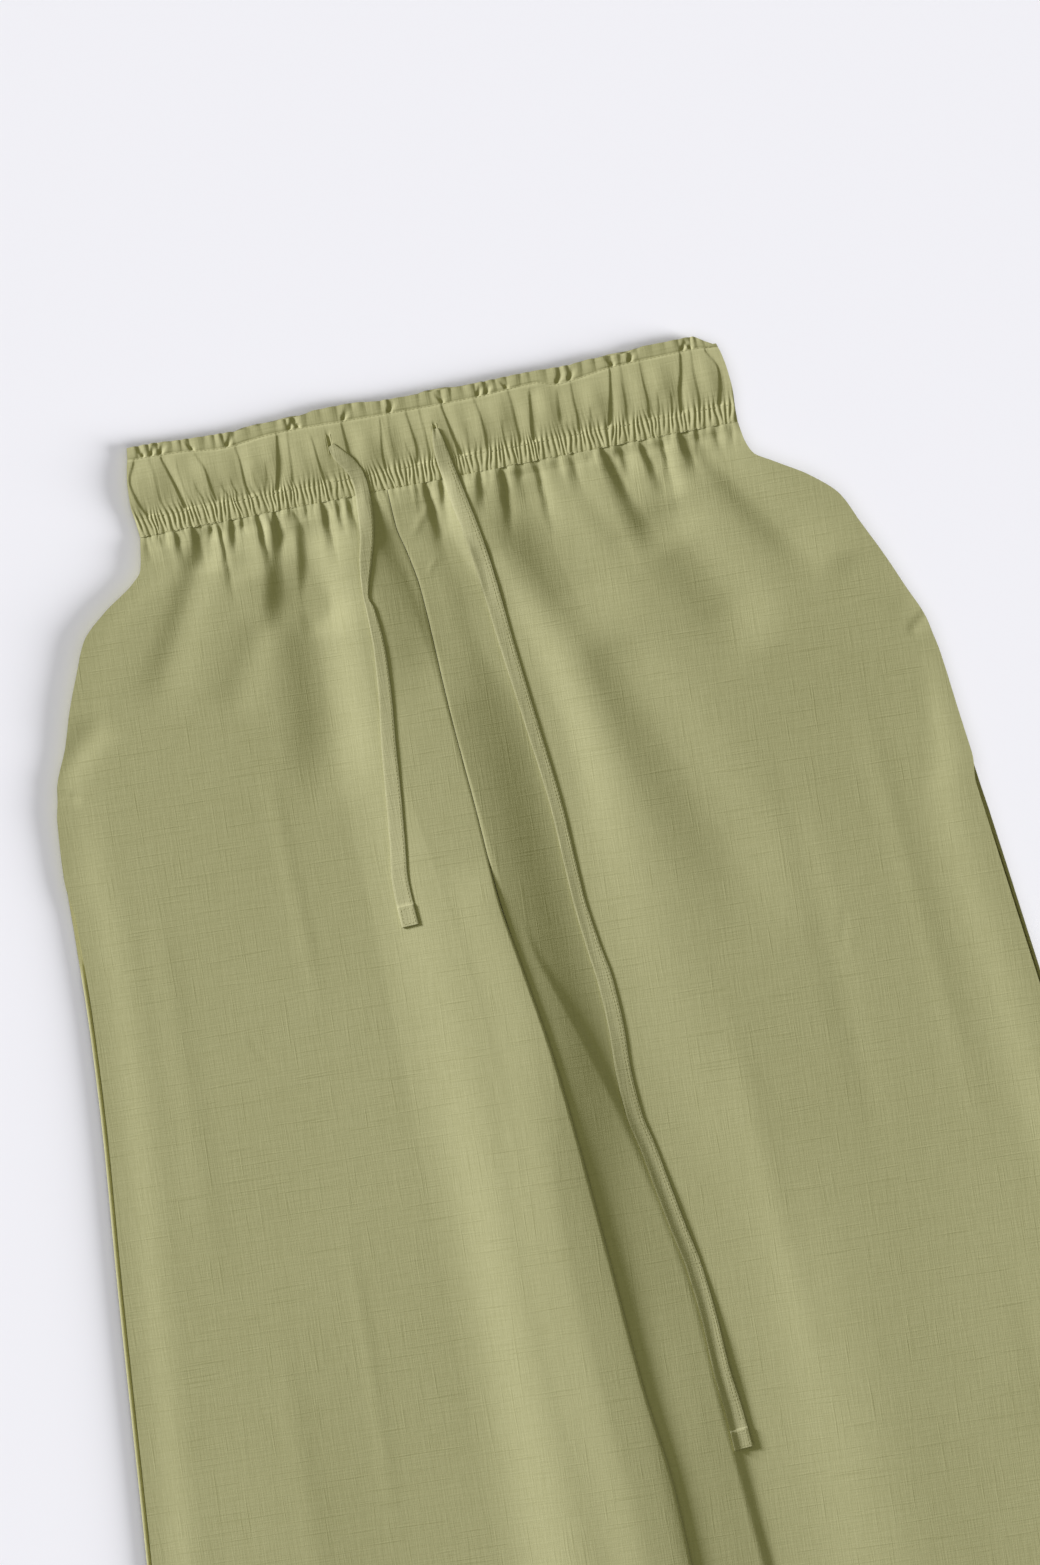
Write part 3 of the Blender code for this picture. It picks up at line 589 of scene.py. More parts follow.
def crest_wave(u, d):
    """The left leg's broad crest and the valley between the legs, to the right of it."""
    foot, top, valley, back = crest_foot(d), crest_top(d), valley_line(d), valley_back(d)
    height, depth = crest_height(d), valley_depth(d)
    even = 1 - 0.6 * ease(d, 340, 480)
    rise = height * slope(u, foot, top, even)
    start = top + 0.15 * (valley - top)
    late = start + (0.34 - 0.28 * ease(d, 380, 480)) * (valley - start)
    drop = 0.25 * slope(u, start, valley, 0.6) + 0.75 * slope(u, late, valley, even)
    middle = 1.8 * bell(u - valley, 75.0) * (1 - ease(d, 300, 440))
    wave = rise - (height + depth) * drop + depth * slope(u, valley, back, 0.5) + middle
    return wave * ease(d, BAND_FOOT, 90)


def sample(shape, u, d):
    """A shape's height at one place, rounded for printing."""
    height = shape(np.array([[u]], dtype=float), np.array([[d]], dtype=float))
    return round(float(height[0, 0]), 2)


print("the crest is", sample(crest_wave, -30, 440), "mm high at the left thigh")

# %% [markdown]
# Tucks start at the gathered band and fade within a few centimetres. They are short steep
# troughs with a sharp line in the middle, and they make the waist look pulled together. A
# row gives a tuck's start, its end, its width, its depth and how deep that line is.

# %% Tucks below the band
Tuck = namedtuple("Tuck", "u0 d0 u1 d1 width depth crease")
TUCKS = [
    Tuck(-171.5, 50, -170.0, 66, 2.6, 0.55, 0.1), Tuck(-163.0, 50, -162.0, 58, 1.6, 0.35, 0.1),
    Tuck(-153.5, 50, -152.0, 66, 2.4, 0.9, 0.3), Tuck(-142.5, 50, -140.5, 74, 4.0, 1.1, 0.4),
    Tuck(-132.5, 50, -136.0, 62, 1.8, 0.5, 0.2), Tuck(-128.6, 52, -128.0, 98, 2.2, 0.5, 0.45),
    Tuck(-121.0, 50, -122.5, 70, 2.6, 1.1, 0.4), Tuck(-115.0, 50, -116.0, 60, 1.6, 0.4, 0.1),
    Tuck(-106.2, 50, -104.0, 82, 2.2, 1.1, 0.8), Tuck(-96.2, 50, -96.5, 76, 2.4, 1.2, 0.7),
    Tuck(-86.0, 50, -82.5, 60, 1.8, 0.4, 0.3), Tuck(-77.0, 50, -78.0, 58, 1.6, 0.3, 0.1),
    Tuck(-67.5, 50, -65.5, 88, 3.4, 1.4, 0.4), Tuck(-59.8, 50, -58.6, 70, 2.0, 0.8, 0.3),
    Tuck(-53.2, 50, -50.5, 74, 3.2, 1.3, 0.5), Tuck(-38.5, 56, -36.0, 90, 3.4, 0.8, 0.0),
    Tuck(-8.4, 50, -3.6, 96, 2.6, 1.4, 0.8), Tuck(1.0, 50, 0.6, 76, 2.4, 1.0, 0.4),
    Tuck(12.0, 50, 12.6, 60, 1.6, 0.35, 0.1), Tuck(24.0, 50, 22.6, 76, 3.6, 1.2, 0.2),
    Tuck(36.8, 50, 35.2, 90, 2.6, 1.0, 1.0), Tuck(47.0, 50, 46.6, 62, 1.8, 0.5, 0.1),
    Tuck(56.5, 50, 58.8, 96, 2.2, 0.7, 0.7), Tuck(68.0, 50, 69.0, 60, 1.8, 0.35, 0.0),
    Tuck(77.0, 50, 80.0, 72, 4.0, 1.1, 0.2), Tuck(87.5, 50, 87.0, 58, 1.6, 0.4, 0.1),
    Tuck(95.5, 50, 107.5, 90, 2.8, 0.9, 1.0), Tuck(106.0, 50, 108.0, 70, 2.4, 1.1, 0.6),
    Tuck(117.5, 50, 126.0, 84, 3.0, 1.4, 0.5), Tuck(130.0, 52, 131.0, 98, 1.8, 0.45, 0.45),
    Tuck(141.6, 50, 147.5, 78, 4.2, 2.0, 0.5), Tuck(150.5, 50, 152.0, 62, 1.6, 0.5, 0.15),
    Tuck(161.0, 50, 162.5, 64, 1.8, 0.5, 0.15), Tuck(171.0, 50, 169.5, 66, 2.6, 0.55, 0.1),
]
print(len(TUCKS), "tucks, the longest", max(tuck.d1 - tuck.d0 for tuck in TUCKS), "mm")

# %% [markdown]
# A tuck is steeper on its left than on its right, because the folded cloth leans one way.
# Between two tucks the cloth puffs up, more where they stand further apart.


# %% Shape of the tucks and of the puffs between them
def tuck_depth(tuck, u, d):
    """How far one tuck presses the cloth down at each place."""
    along = (d - tuck.d0) / (tuck.d1 - tuck.d0)
    middle = tuck.u0 + (tuck.u1 - tuck.u0) * along + 0.2 * np.sin(0.45 * d + tuck.u0)
    width = tuck.width * (0.36 + 0.85 * np.clip(along, 0, 1.5))
    start = ease(along, -0.25, 0.1) if tuck.d0 > BAND_FOOT else 1.0
    away = np.abs(u - middle) / np.where(u < middle, width, 3 * width)
    sides = 0.5 * bell(away, 1.0) + 0.5 * (1 - slope(away, 0.0, 1.7, 0.8))
    press = 1.1 * tuck.depth * (1 - ease(along, 0.35, 1.2)) * sides
    line = tuck.crease * (1 - ease(along, 0.3, 1.05)) * lopsided(u - middle, 0.5, 2.4)
    return (press + line) * start


PUFF_END = 45.0          # no puffs are left this far below the band
PUFF_FADE = 11.0


def tuck_puffs(u, d):
    """Height of the cloth that puffs up between each tuck and the next, below the band."""
    out = np.zeros(u.shape)
    for row in range(u.shape[0]):
        drop = d[row, 0] - BAND_FOOT
        if drop > PUFF_END:
            continue
        lines = np.sort([tuck.u0 + (tuck.u1 - tuck.u0) * drop / (tuck.d1 - tuck.d0) for tuck in TUCKS])
        phase = np.interp(u[row], lines, np.arange(len(lines)))
        number = np.minimum(phase.astype(int), len(lines) - 2)
        gap = np.diff(lines)[number]
        uneven = 1 + 0.35 * np.sin(2.3 * number)
        fade = math.exp(-max(drop, 0.0) / PUFF_FADE)
        size = np.clip(0.06 * gap, 0.25, 0.8) * uneven * fade
        out[row] = size * np.sin(np.pi * (phase - number) ** 1.5)
    return out


print("puffs reach", PUFF_END, "mm below the band")

# %% [markdown]
# The waistband is shirred with elastic thread, which draws the cloth into about 140
# narrow gathers. Each gather has its own width and lean, so the line between one gather
# and the next is a number that shifts a little down the band. The same lines carry on for
# a centimetre into the legs.

# %% Gathers of the shirring
GATHERS = 140
gather_dice = random.Random(12)
gather_widths = [1 + gather_dice.uniform(-0.38, 0.38) for _ in range(GATHERS)]
gather_heights = [1 + gather_dice.uniform(-0.45, 0.35) for _ in range(GATHERS + 1)]
gather_lines = BAND_LEFT + (BAND_RIGHT - BAND_LEFT) * np.concatenate(
    [[0.0], np.cumsum(gather_widths) / sum(gather_widths)])
gather_leans = -0.10 * gather_lines / BAND_RIGHT + np.array(
    [gather_dice.uniform(-0.03, 0.03) for _ in range(GATHERS + 1)])
gather_leans = gather_leans + 0.09 * np.sin(gather_lines * 0.11 + 1.7 * np.sin(gather_lines * 0.053))
gather_leans = gather_leans + 0.08 * np.sin(gather_lines * 0.36 + 1.3 * np.sin(gather_lines * 0.11))
gather_kinks = 0.3 * np.sin(gather_lines * 0.27 + 2.0) + np.array(
    [gather_dice.uniform(-0.35, 0.35) for _ in range(GATHERS + 1)])


def gather_wave(u, d, together=1):
    """Height of the gathers, or of puffs of several together, 0 between two and 1 on top."""
    out = np.empty(u.shape)
    for row in range(u.shape[0]):
        drop = np.clip(d[row, 0] - (CASING_END + BAND_FOOT) / 2, -16.0, 20.0)
        lines = gather_lines + gather_leans * drop + gather_kinks * math.sin(drop * 0.42)
        phase = np.interp(u[row], np.sort(lines), np.arange(GATHERS + 1))
        part = phase / together % 1.0
        size = np.interp(phase, np.arange(GATHERS + 1), gather_heights)
        out[row] = size * np.sin(np.pi * np.clip(part, 0, 1) ** 1.6)
    return out


def merged_gathers(u, d):
    """The gathers, which meet in pairs towards the band's foot."""
    pairs = 0.65 * ease(d, BAND_FOOT - 7, BAND_FOOT - 1)
    return gather_wave(u, d) * (1 - pairs) + 1.15 * gather_wave(u, d, 2) * pairs


print("mean gather:", round((BAND_RIGHT - BAND_LEFT) / GATHERS, 2), "mm")

# %% [markdown]
# The side seams turn forwards below the hips. There the front panel ends a little inside
# the outline, and the back's rolled edge shows beyond it. This happens in three stages down
# each side: the front goes in, the back comes out, and the edge is rolled.

# %% Side seams
SEAM_INSET = 3.1
SEAM_ROWS = {"left": (234, 262, 280, 298), "right": (262, 280, 298, 330)}


def seam_stage(d, side, stage):
    """How far one stage of the side seam has gone: front in, back out, edge rolled."""
    rows = SEAM_ROWS[side]
    return ease(d, rows[stage], rows[stage + 1])


def front_outer(d, side):
    """The front panel's outer edge."""
    if side == "left":
        return left_outline(d) + SEAM_INSET * seam_stage(d, side, 0)
    return right_outline(d) - SEAM_INSET * seam_stage(d, side, 0)


print("the left seam lies", SEAM_INSET, "mm inside the outline from", SEAM_ROWS["left"][1], "mm down")

# %% [markdown]
# The cloth slopes softly along each outer fold: down to the left one and up to the right
# one, which stands higher. Before it rises, the right leg's outer part dips a little.

# %% Slopes along the outer folds
RIGHT_RISE = 2.4
HIP_DIP = 1.4


def edge_rise(u, d):
    """Height that the slopes along the outer folds add."""
    left_in = u - front_outer(d, "left")
    right_in = front_outer(d, "right") - u
    left_drop = (0.4 + 1.4 * ease(d, 180, 240)) * (1 - slope(left_in, 4, 30, 0.5))
    low = 2.0 + 4.0 * ease(d, 200, 300)
    high = 14.0 + 25.0 * ease(d, 195, 320)
    right_rise = RIGHT_RISE * ease(d, 178, 290) * (1 - slope(right_in, low, high, 0.5))
    dip = HIP_DIP * ease(u, 110, 240) * ease(d, 160, 240)
    return right_rise - left_drop - dip


print("the right edge rises", sample(edge_rise, 294, 500), "mm")

# %% [markdown]
# With the tables in place, the height of the front is a sum: the fullness of the tube, the
# folds, the tucks, the puffs and the gathers. Just below the band they all grow out of the
# shirring, so they start small there, and the gathers fade over a few millimetres.

# %% Height of the front
Fullness = namedtuple("Fullness", "d height")
FULLNESS = [
    Fullness(50, 2.2), Fullness(61, 3.8), Fullness(90, 4.6), Fullness(160, 4.2), Fullness(300, 3.9),
    Fullness(600, 3.6), Fullness(1020, 3.2),
]
fullness = smooth_curve(FULLNESS)
LEAST_RELIEF = 0.35
SEAM_GROOVE = 0.3
GATHER_HEIGHT = 0.65
GROUP_HEIGHT = 0.4       # of the puffs that hold three gathers each


def near_band(u, d):
    """What the gathers and the puffs add where they run out into the legs."""
    below = np.clip(d - BAND_FOOT, 0, None)
    reach = 4.6 + 2.4 * np.sin(0.23 * u + 2.0 * np.sin(0.07 * u))
    gathers = (merged_gathers(u, d) - 0.6) * GATHER_HEIGHT * np.exp(-below / reach)
    groups = (gather_wave(u, d, 3) - 0.6) * ease(d, BAND_FOOT - 1, BAND_FOOT + 4)
    groups = GROUP_HEIGHT * groups * np.exp(-below / (1.3 * reach))
    return gathers + groups + tuck_puffs(u, d) * ease(d, BAND_FOOT - 2, BAND_FOOT + 3)


def relief(u, d):
    """Height of the front over its lowest place, before its edges round down."""
    height = fullness(d) + crest_wave(u, d) + edge_rise(u, d)
    out_of_band = 0.35 + 0.65 * ease(d, 49, 57)
    for fold in FOLDS + RIPPLES:
        height = height + fold_height(fold, u, d) * out_of_band
    for tuck in TUCKS:
        height = height - tuck_depth(tuck, u, d) * out_of_band
    height = height - SEAM_GROOVE * bell(u - centre_line(d), 0.8) + near_band(u, d)
    over = height - LEAST_RELIEF
    return LEAST_RELIEF + 0.5 * (over + np.sqrt(over ** 2 + 1.0))


print("relief at the left hip:", sample(relief, -180, 200), "mm")

# %% [markdown]
# The solids are walls with a gap between front and back. The cloth made here is thinner
# than those walls, as real linen is, and its upper face lies where theirs does. So that
# face stands on two of their layers and the gap. At the hem a layer is turned up and gets
# thicker.

# %% Layers of cloth and the hem
SOLID_LAYER = 1.2        # one layer in the solids that this script dresses
SOLID_GAP = 0.3
HALF_GAP = SOLID_GAP / 2
HEM_FOLD = 1.0           # what the turned-up hem adds to a layer
THIN = 0.8               # one layer of the cloth made here
CLEAR = 0.25             # clearance between two of these layers


def in_hem(d):
    """Rise from 0 above the turned-up hem to 1 in it."""
    return ease(d, HEM_TOP - 1, HEM_TOP + 1)


def layer(d):
    """The wall's thickness in the solids, which grows at the hem."""
    return SOLID_LAYER + HEM_FOLD * in_hem(d)


print("a layer of the solids is", float(layer(500)), "mm thick and", float(layer(LEG_END)), "at the hem")

# %% [markdown]
# Below the crotch the left leg climbs on to the right one, whose inner edge lies hidden
# under it. The left leg is lifted by the two thin layers of the right leg, and its own
# inner edge is a plain fold that rounds down over a shadow.

# %% Left leg over the right one
OVERLAP = 21.0           # how far the right leg reaches under the left one
HIDDEN_RISE = 20.0       # width over which the hidden part gets its height
RAMP = 30.0              # width over which the left leg climbs
LAP_CLEAR = 1.0
FOLD_ROUND = 1.5         # the left leg's inner fold rounds down over this width
FOLD_DROP = 0.5


def overlapped(d):
    """Rise from 0 above the crotch to 1 where the left leg lies over the right one."""
    return ease(d, CROTCH_D - 38, CROTCH_D - 4)


def hidden_edge(d):
    """The right leg's inner edge, under the left leg."""
    return centre_line(d) - OVERLAP * ease(d, CROTCH_D, CROTCH_D + 230)


def climb(u, d):
    """How far the left leg is lifted by the right leg's two layers below it."""
    return ease(u - hidden_edge(d), -RAMP - LAP_CLEAR, -LAP_CLEAR) * overlapped(d)


def front_top(u, d, side):
    """Upper face of a front panel."""
    height = relief(u, d)
    if side == "left":
        height = height + 2 * (THIN + CLEAR) * climb(u, d)
        to_fold = round_down(centre_line(d) - HALF_GAP - u, FOLD_ROUND)
        height = height - FOLD_DROP * (1 - to_fold) * overlapped(d)
    else:
        height = height * ease(u - centre_line(d), -OVERLAP - 4, HIDDEN_RISE - OVERLAP)
    return layer(d) + SOLID_GAP + height + layer(d)


print("front at the left thigh:", sample(lambda u, d: front_top(u, d, "left"), -60, 400), "mm high")

# %% [markdown]
# Every piece of the scene is finished in the same way: it gets its material and the body
# that it belongs to. A piece that dresses solids names them, and they are hidden.


# %% Finishing a piece
def finish_piece(piece, material, replaces=()):
    """Give a piece its material and its body, and hide the solids that it stands for."""
    piece.data.materials.clear()
    piece.data.materials.append(material)
    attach(piece, "root")
    if replaces:
        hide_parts(*replaces)
    return piece


print("finishes:", [finish.name for finish in (linen_front, linen_back, linen_waist, linen_tape, thread)])

# %% [markdown]
# A cloth panel is a grid of points with a second grid straight below it, closed along its
# rim. The surface is worked out from a formula at thousands of places, so it is made from
# its points, where the solid pieces of a hard object would be modelled with operators.


# %% A closed sheet of cloth
def sheet_faces(rows, columns):
    """Faces of two grids of points, the upper one first, and of the rim between them."""
    count = rows * columns
    index = np.arange(count).reshape(rows, columns)
    a, b = index[:-1, :-1].ravel(), index[:-1, 1:].ravel()
    c, e = index[1:, 1:].ravel(), index[1:, :-1].ravel()
    upper = np.stack([a, e, c, b], axis=1)
    lower = np.stack([a, b, c, e], axis=1) + count
    ring = np.concatenate([index[0, :-1], index[:-1, -1], index[-1, :0:-1], index[:0:-1, 0]])
    after = np.roll(ring, -1)
    rim = np.stack([ring, after, after + count, ring + count], axis=1)
    return np.concatenate([upper, lower, rim]).tolist()


def cloth_panel(name, u, d, top, thick):
    """Make a closed sheet from grids of places (rows by columns) and its upper height."""
    x = (u - MIDDLE_U) * MM
    y = (MIDDLE_D - d) * MM
    upper = np.stack([x, y, top * MM], axis=-1).reshape(-1, 3)
    lower = np.stack([x, y, (top - thick) * MM], axis=-1).reshape(-1, 3)
    mesh = bpy.data.meshes.new(name)
    mesh.from_pydata(np.concatenate([upper, lower]).tolist(), [], sheet_faces(*u.shape))
    mesh.validate()
    mesh.update()
    piece = bpy.data.objects.new(name, mesh)
    bpy.context.scene.collection.objects.link(piece)
    mesh.shade_smooth()
    mesh.set_sharp_from_angle(angle=math.radians(60))
    return piece


print("a sheet of 3 by 4 points has", len(sheet_faces(3, 4)), "faces")

# %% [markdown]
# Rows and columns needn't be even: they lie close together at the gathers and at the
# folded edges, where the cloth bends tightly, and further apart where it lies flat.


# %% Rows down a leg
def graded(stops):
    """Places with their own spacing: stops are (place, spacing from here on)."""
    places = []
    for (start, step), (end, _) in zip(stops, stops[1:]):
        count = max(1, round((end - start) / step))
        places.extend(start + (end - start) * i / count for i in range(count))
    places.append(stops[-1][0])
    return np.array(places)


LEG_ROWS = graded([(BAND_FOOT + 0.03, 0.9), (66, 1.3), (100, 2.0), (200, 3.4), (420, 6.0),
                   (640, 11.0), (HEM_TOP - 1.4, 0.45), (HEM_TOP + 1.4, 3.0),
                   (LEG_END - 1.5, 0.5), (LEG_END, 0)])
print(len(LEG_ROWS), "rows down a leg")

# %% [markdown]
# Each front leg is one panel from its outer seam to the centre line, and the right one
# goes on under the left leg. At its outer edge a panel folds over and down to the back,
# which is made as a wall that gets as thick there as the space below it.

# %% Front legs
LEFT_COLUMNS = 196
RIGHT_COLUMNS = 203
FRONT_HEM = 0.9 * HEM_FOLD


def spread_columns(start, end, d, count):
    """Columns from start to end in each row, below the hip closer together near both ends."""
    t = np.linspace(0.0, 1.0, count)[None, :]
    close = 0.1 + 0.6 * ease(d, 90, 240)[:, None]
    t = t - close * np.sin(2 * np.pi * t) / (2 * np.pi)
    return start[:, None] + (end - start)[:, None] * t


def edge_wall(u, d, top, side):
    """Thickness of a front panel, which folds over and down to the back at its outer edge."""
    inward = np.abs(u - front_outer(d, side))
    gap = top - THIN - (THIN + CLEAR)
    rim = 1 - ease(inward, 0.1, 1.0)
    return THIN + np.maximum(gap, 0.0) * rim


def front_leg(side):
    """One front leg panel."""
    d = LEG_ROWS
    if side == "left":
        u = spread_columns(front_outer(d, side), centre_line(d) - HALF_GAP, d, LEFT_COLUMNS)
    else:
        u = spread_columns(hidden_edge(d) + HALF_GAP, front_outer(d, side), d, RIGHT_COLUMNS)
    grid_d = np.broadcast_to(d[:, None], u.shape)
    top = front_top(u, grid_d, side)
    thick = edge_wall(u, grid_d, top, side) + FRONT_HEM * in_hem(grid_d)
    piece = cloth_panel("linen_front_" + side, u, grid_d, top, thick)
    return finish_piece(piece, linen_front, replaces=["front_" + side + "_leg"])


front_left = front_leg("left")
front_right = front_leg("right")
print("front panels:", len(front_left.data.polygons), len(front_right.data.polygons), "faces")

# %% [markdown]
# The back legs lie flat on the table. Below the hips their outer edge is rolled up, and it
# shows beyond the front's seam. Under the overlap the left back leg rises on to the right
# leg. The columns are closest at the rolled edge.

# %% Back legs
BACK_TUCK = 0.3
ROLL = 1.6
BACK_COLUMNS = 60        # from the rim to the centre
RIM_COLUMNS = graded([(0, 0.35), (4.2, 1.6), (12, 0)])
BACK_ROWS = graded([(BAND_FOOT + HALF_GAP, 5), (230, 3), (340, 8), (HEM_TOP - 1.4, 0.45),
                    (HEM_TOP + 1.4, 6), (LEG_END, 0)])


def outline(d, side):
    """The garment's outline on one side."""
    return left_outline(d) if side == "left" else right_outline(d)


def back_columns(d, side):
    """Places across a back leg, close together in its rim and even from there on."""
    inward = 1 if side == "left" else -1
    outer = outline(d, side) + inward * BACK_TUCK * (1 - seam_stage(d, side, 1))
    inner = centre_line(d) - HALF_GAP if side == "left" else hidden_edge(d) + HALF_GAP
    rim = outer[:, None] + inward * RIM_COLUMNS[None, :]
    share = np.linspace(0, 1, BACK_COLUMNS + 1)[None, 1:]
    rest = rim[:, -1][:, None] + (inner - rim[:, -1])[:, None] * share
    return np.concatenate([rim, rest], axis=1)


def back_leg(side):
    """One back leg panel, flat on the table, with its rolled edge outside the side seam."""
    u = back_columns(BACK_ROWS, side)
    d = np.broadcast_to(BACK_ROWS[:, None], u.shape)
    distance = np.abs(u - outline(d, side))
    rolled = seam_stage(d, side, 2) * (1 - ease(distance, 1.5, 2.6))
    under = ROLL * rolled - 0.5 * rolled * (1 - round_down(distance, 1.2))
    if side == "left":
        under = under + climb(u, d) * (2 * layer(d) + SOLID_GAP + CLEAR + relief(u, d))
    else:
        u, d, under = u[:, ::-1], d[:, ::-1], under[:, ::-1]
    thick = THIN + HEM_FOLD * in_hem(d)
    piece = cloth_panel("linen_back_" + side, u, d, under + thick, thick)
    return finish_piece(piece, linen_back, replaces=["back_" + side + "_leg"])


back_left = back_leg("left")
back_right = back_leg("right")
print("back panels:", len(back_left.data.polygons), len(back_right.data.polygons), "faces")

# %% [markdown]
# The waistband's front is one strip with three sewn zones: a free ruffle on top, a casing
# with soft pleats, and the shirred strip. Each crease of the casing is one row of a table,
# with its place at four heights, because no two creases lean alike. A crease is a narrow
# trough, steep on its left and drawn out on its right. Between them the casing swells.

# %% Creases of the casing
Crease = namedtuple("Crease", "top upper lower foot start end width depth")
CREASES = [
    Crease(-170.2, -172.6, -170.2, -166.8, 4, 44, 1.0, 0.7),
    Crease(-160.0, -158.4, -158.2, -156.0, 3, 36, 1.7, 0.35),
    Crease(-153.6, -150.8, -147.8, -146.0, 4, 44, 0.9, 0.95),
    Crease(-145.2, -144.8, -143.2, -140.6, 10, 44, 1.3, 0.3),
    Crease(-138.5, -137.8, -136.8, -132.2, 24, 44, 1.0, 0.3),
    Crease(-134.0, -130.0, -128.8, -127.0, 6, 44, 0.8, 0.55),
    Crease(-124.5, -124.0, -122.5, -118.6, 26, 46, 1.2, 0.3),
    Crease(-117.0, -117.0, -116.4, -113.4, 25, 44, 1.0, 0.3),
    Crease(-110.3, -109.2, -109.0, -108.0, 1, 42, 1.1, 0.6),
    Crease(-103.4, -103.2, -103.0, -101.4, 22, 38, 1.4, 0.2),
    Crease(-94.5, -94.8, -95.8, -98.0, 20, 40, 1.4, 0.25),
    Crease(-86.0, -87.4, -89.4, -92.4, 4, 44, 0.9, 0.9),
    Crease(-79.3, -80.2, -80.8, -82.6, 2, 40, 1.5, 0.4),
    Crease(-67.0, -65.8, -65.0, -63.4, 10, 42, 1.1, 0.55),
    Crease(-48.0, -47.5, -47.2, -45.5, 2, 36, 1.1, 0.75),
    Crease(-26.0, -27.0, -28.4, -28.6, 6, 42, 0.8, 0.45),
    Crease(-20.6, -21.6, -21.2, -20.0, 0, 40, 1.6, 0.3),
    Crease(-14.0, -14.6, -13.6, -12.0, 24, 44, 1.2, 0.3),
    Crease(-10.4, -9.2, -8.3, -9.4, 2, 46, 1.2, 0.65),
    Crease(-2.4, -1.8, -1.5, -2.0, 0, 44, 1.7, 0.45),
    Crease(10.2, 11.8, 13.6, 15.6, 2, 46, 1.0, 0.95),
    Crease(21.0, 21.4, 22.0, 22.0, 20, 42, 1.8, 0.2),
    Crease(29.6, 31.4, 32.0, 31.4, 4, 40, 1.4, 0.55),
    Crease(43.5, 43.2, 42.6, 41.6, 22, 42, 1.5, 0.25),
    Crease(49.6, 50.4, 50.6, 51.0, 1, 42, 1.5, 0.55),
    Crease(61.6, 60.4, 59.0, 57.8, 8, 50, 1.1, 0.85),
    Crease(77.4, 76.6, 75.8, 75.2, 8, 32, 1.7, 0.45),
    Crease(85.6, 85.4, 85.8, 85.0, 5, 42, 1.1, 0.45),
    Crease(94.8, 94.6, 93.6, 92.2, 24, 42, 1.3, 0.3),
    Crease(108.8, 107.2, 104.8, 102.2, 3, 44, 0.9, 0.9),
    Crease(115.4, 115.0, 114.4, 112.6, 1, 40, 1.5, 0.4),
    Crease(126.6, 126.6, 127.0, 126.0, 4, 42, 1.0, 0.5),
    Crease(134.4, 134.0, 133.2, 132.4, 24, 42, 1.2, 0.3),
    Crease(141.5, 141.4, 140.6, 139.4, 26, 44, 1.0, 0.3),
    Crease(150.2, 148.4, 145.4, 144.2, 3, 44, 0.9, 0.95),
    Crease(157.0, 156.2, 156.4, 156.0, 1, 40, 1.5, 0.4),
    Crease(166.8, 170.6, 168.8, 166.0, 3, 44, 1.0, 0.7),
]
CREASE_ROWS = (STITCH_D, 17.0, 28.0, CASING_END)
print(len(CREASES), "creases, the deepest", max(crease.depth for crease in CREASES), "mm")

# %% [markdown]
# A crease starts and ends at its own height, and it is deeper further down the casing.


# %% Depth of the creases
def crease_depth(u, d):
    """How deep the casing's creases are at each place."""
    depth = np.zeros(u.shape)
    rows = d[:, 0]
    deeper = (0.6 + 0.4 * ease(rows, 8, 30))[:, None]
    for crease in CREASES:
        line = smooth_curve(list(zip(CREASE_ROWS, crease[:4])))(rows)[:, None]
        begun = ease(rows, crease.start - 2, crease.start + 4)
        ended = ease(rows, crease.end - 6, crease.end + 1)
        there = (begun * (1 - ended))[:, None]
        across = lopsided(u - line, 0.65 * crease.width, 2.2 + 2.2 * crease.width)
        depth += crease.depth * there * deeper * across
    return depth


print("the first crease is", sample(crease_depth, -170.2, 28), "mm deep low down")

# %% [markdown]
# The ruffle is the free edge above the casing, about seven millimetres of gathered cloth.
# It stands in waves, and in places it pinches to a notch. Neither the stitch line below
# it, called the header here, nor its free edge is straight, so both are smooth curves
# through a few places across the waist.

# %% Tables of the ruffle
RUFFLE_LINES = [
    -174.5, -168, -160.5, -154.5, -147, -141, -136, -128, -122, -116.5, -110.5, -101, -94, -86,
    -79.5, -74.5, -68, -59, -50, -41, -33, -25, -19.5, -10, -2.5, 5, 10.5, 16, 24, 30.5, 36, 43,
    49.5, 57, 63, 72, 79.5, 86, 93, 101, 110.5, 115.5, 121, 126.5, 134, 142, 150.5, 157, 162, 168,
    175,
]
NOTCHES = (-165, -160, -154.4, -136, -115.6, -78.8, -73.7, -47.5, -21, 10.3, 31, 36, 48, 77, 84,
           110.2, 120, 151.3, 156.3)
HEADER_LINE = [
    SeamPoint(-175, 4.8), SeamPoint(-155, 5.4), SeamPoint(-141, 6.0), SeamPoint(-129, 7.6),
    SeamPoint(-116, 8.4), SeamPoint(-104, 7.2), SeamPoint(-90, 5.8), SeamPoint(-75, 5.6),
    SeamPoint(-45, 6.4), SeamPoint(-8, 7.2), SeamPoint(30, 7.4), SeamPoint(48, 6.4),
    SeamPoint(65, 5.8), SeamPoint(77, 9.0), SeamPoint(88, 8.2), SeamPoint(100, 6.4),
    SeamPoint(112, 5.1), SeamPoint(140, 4.4), SeamPoint(158, 4.0), SeamPoint(175, 5.8),
]
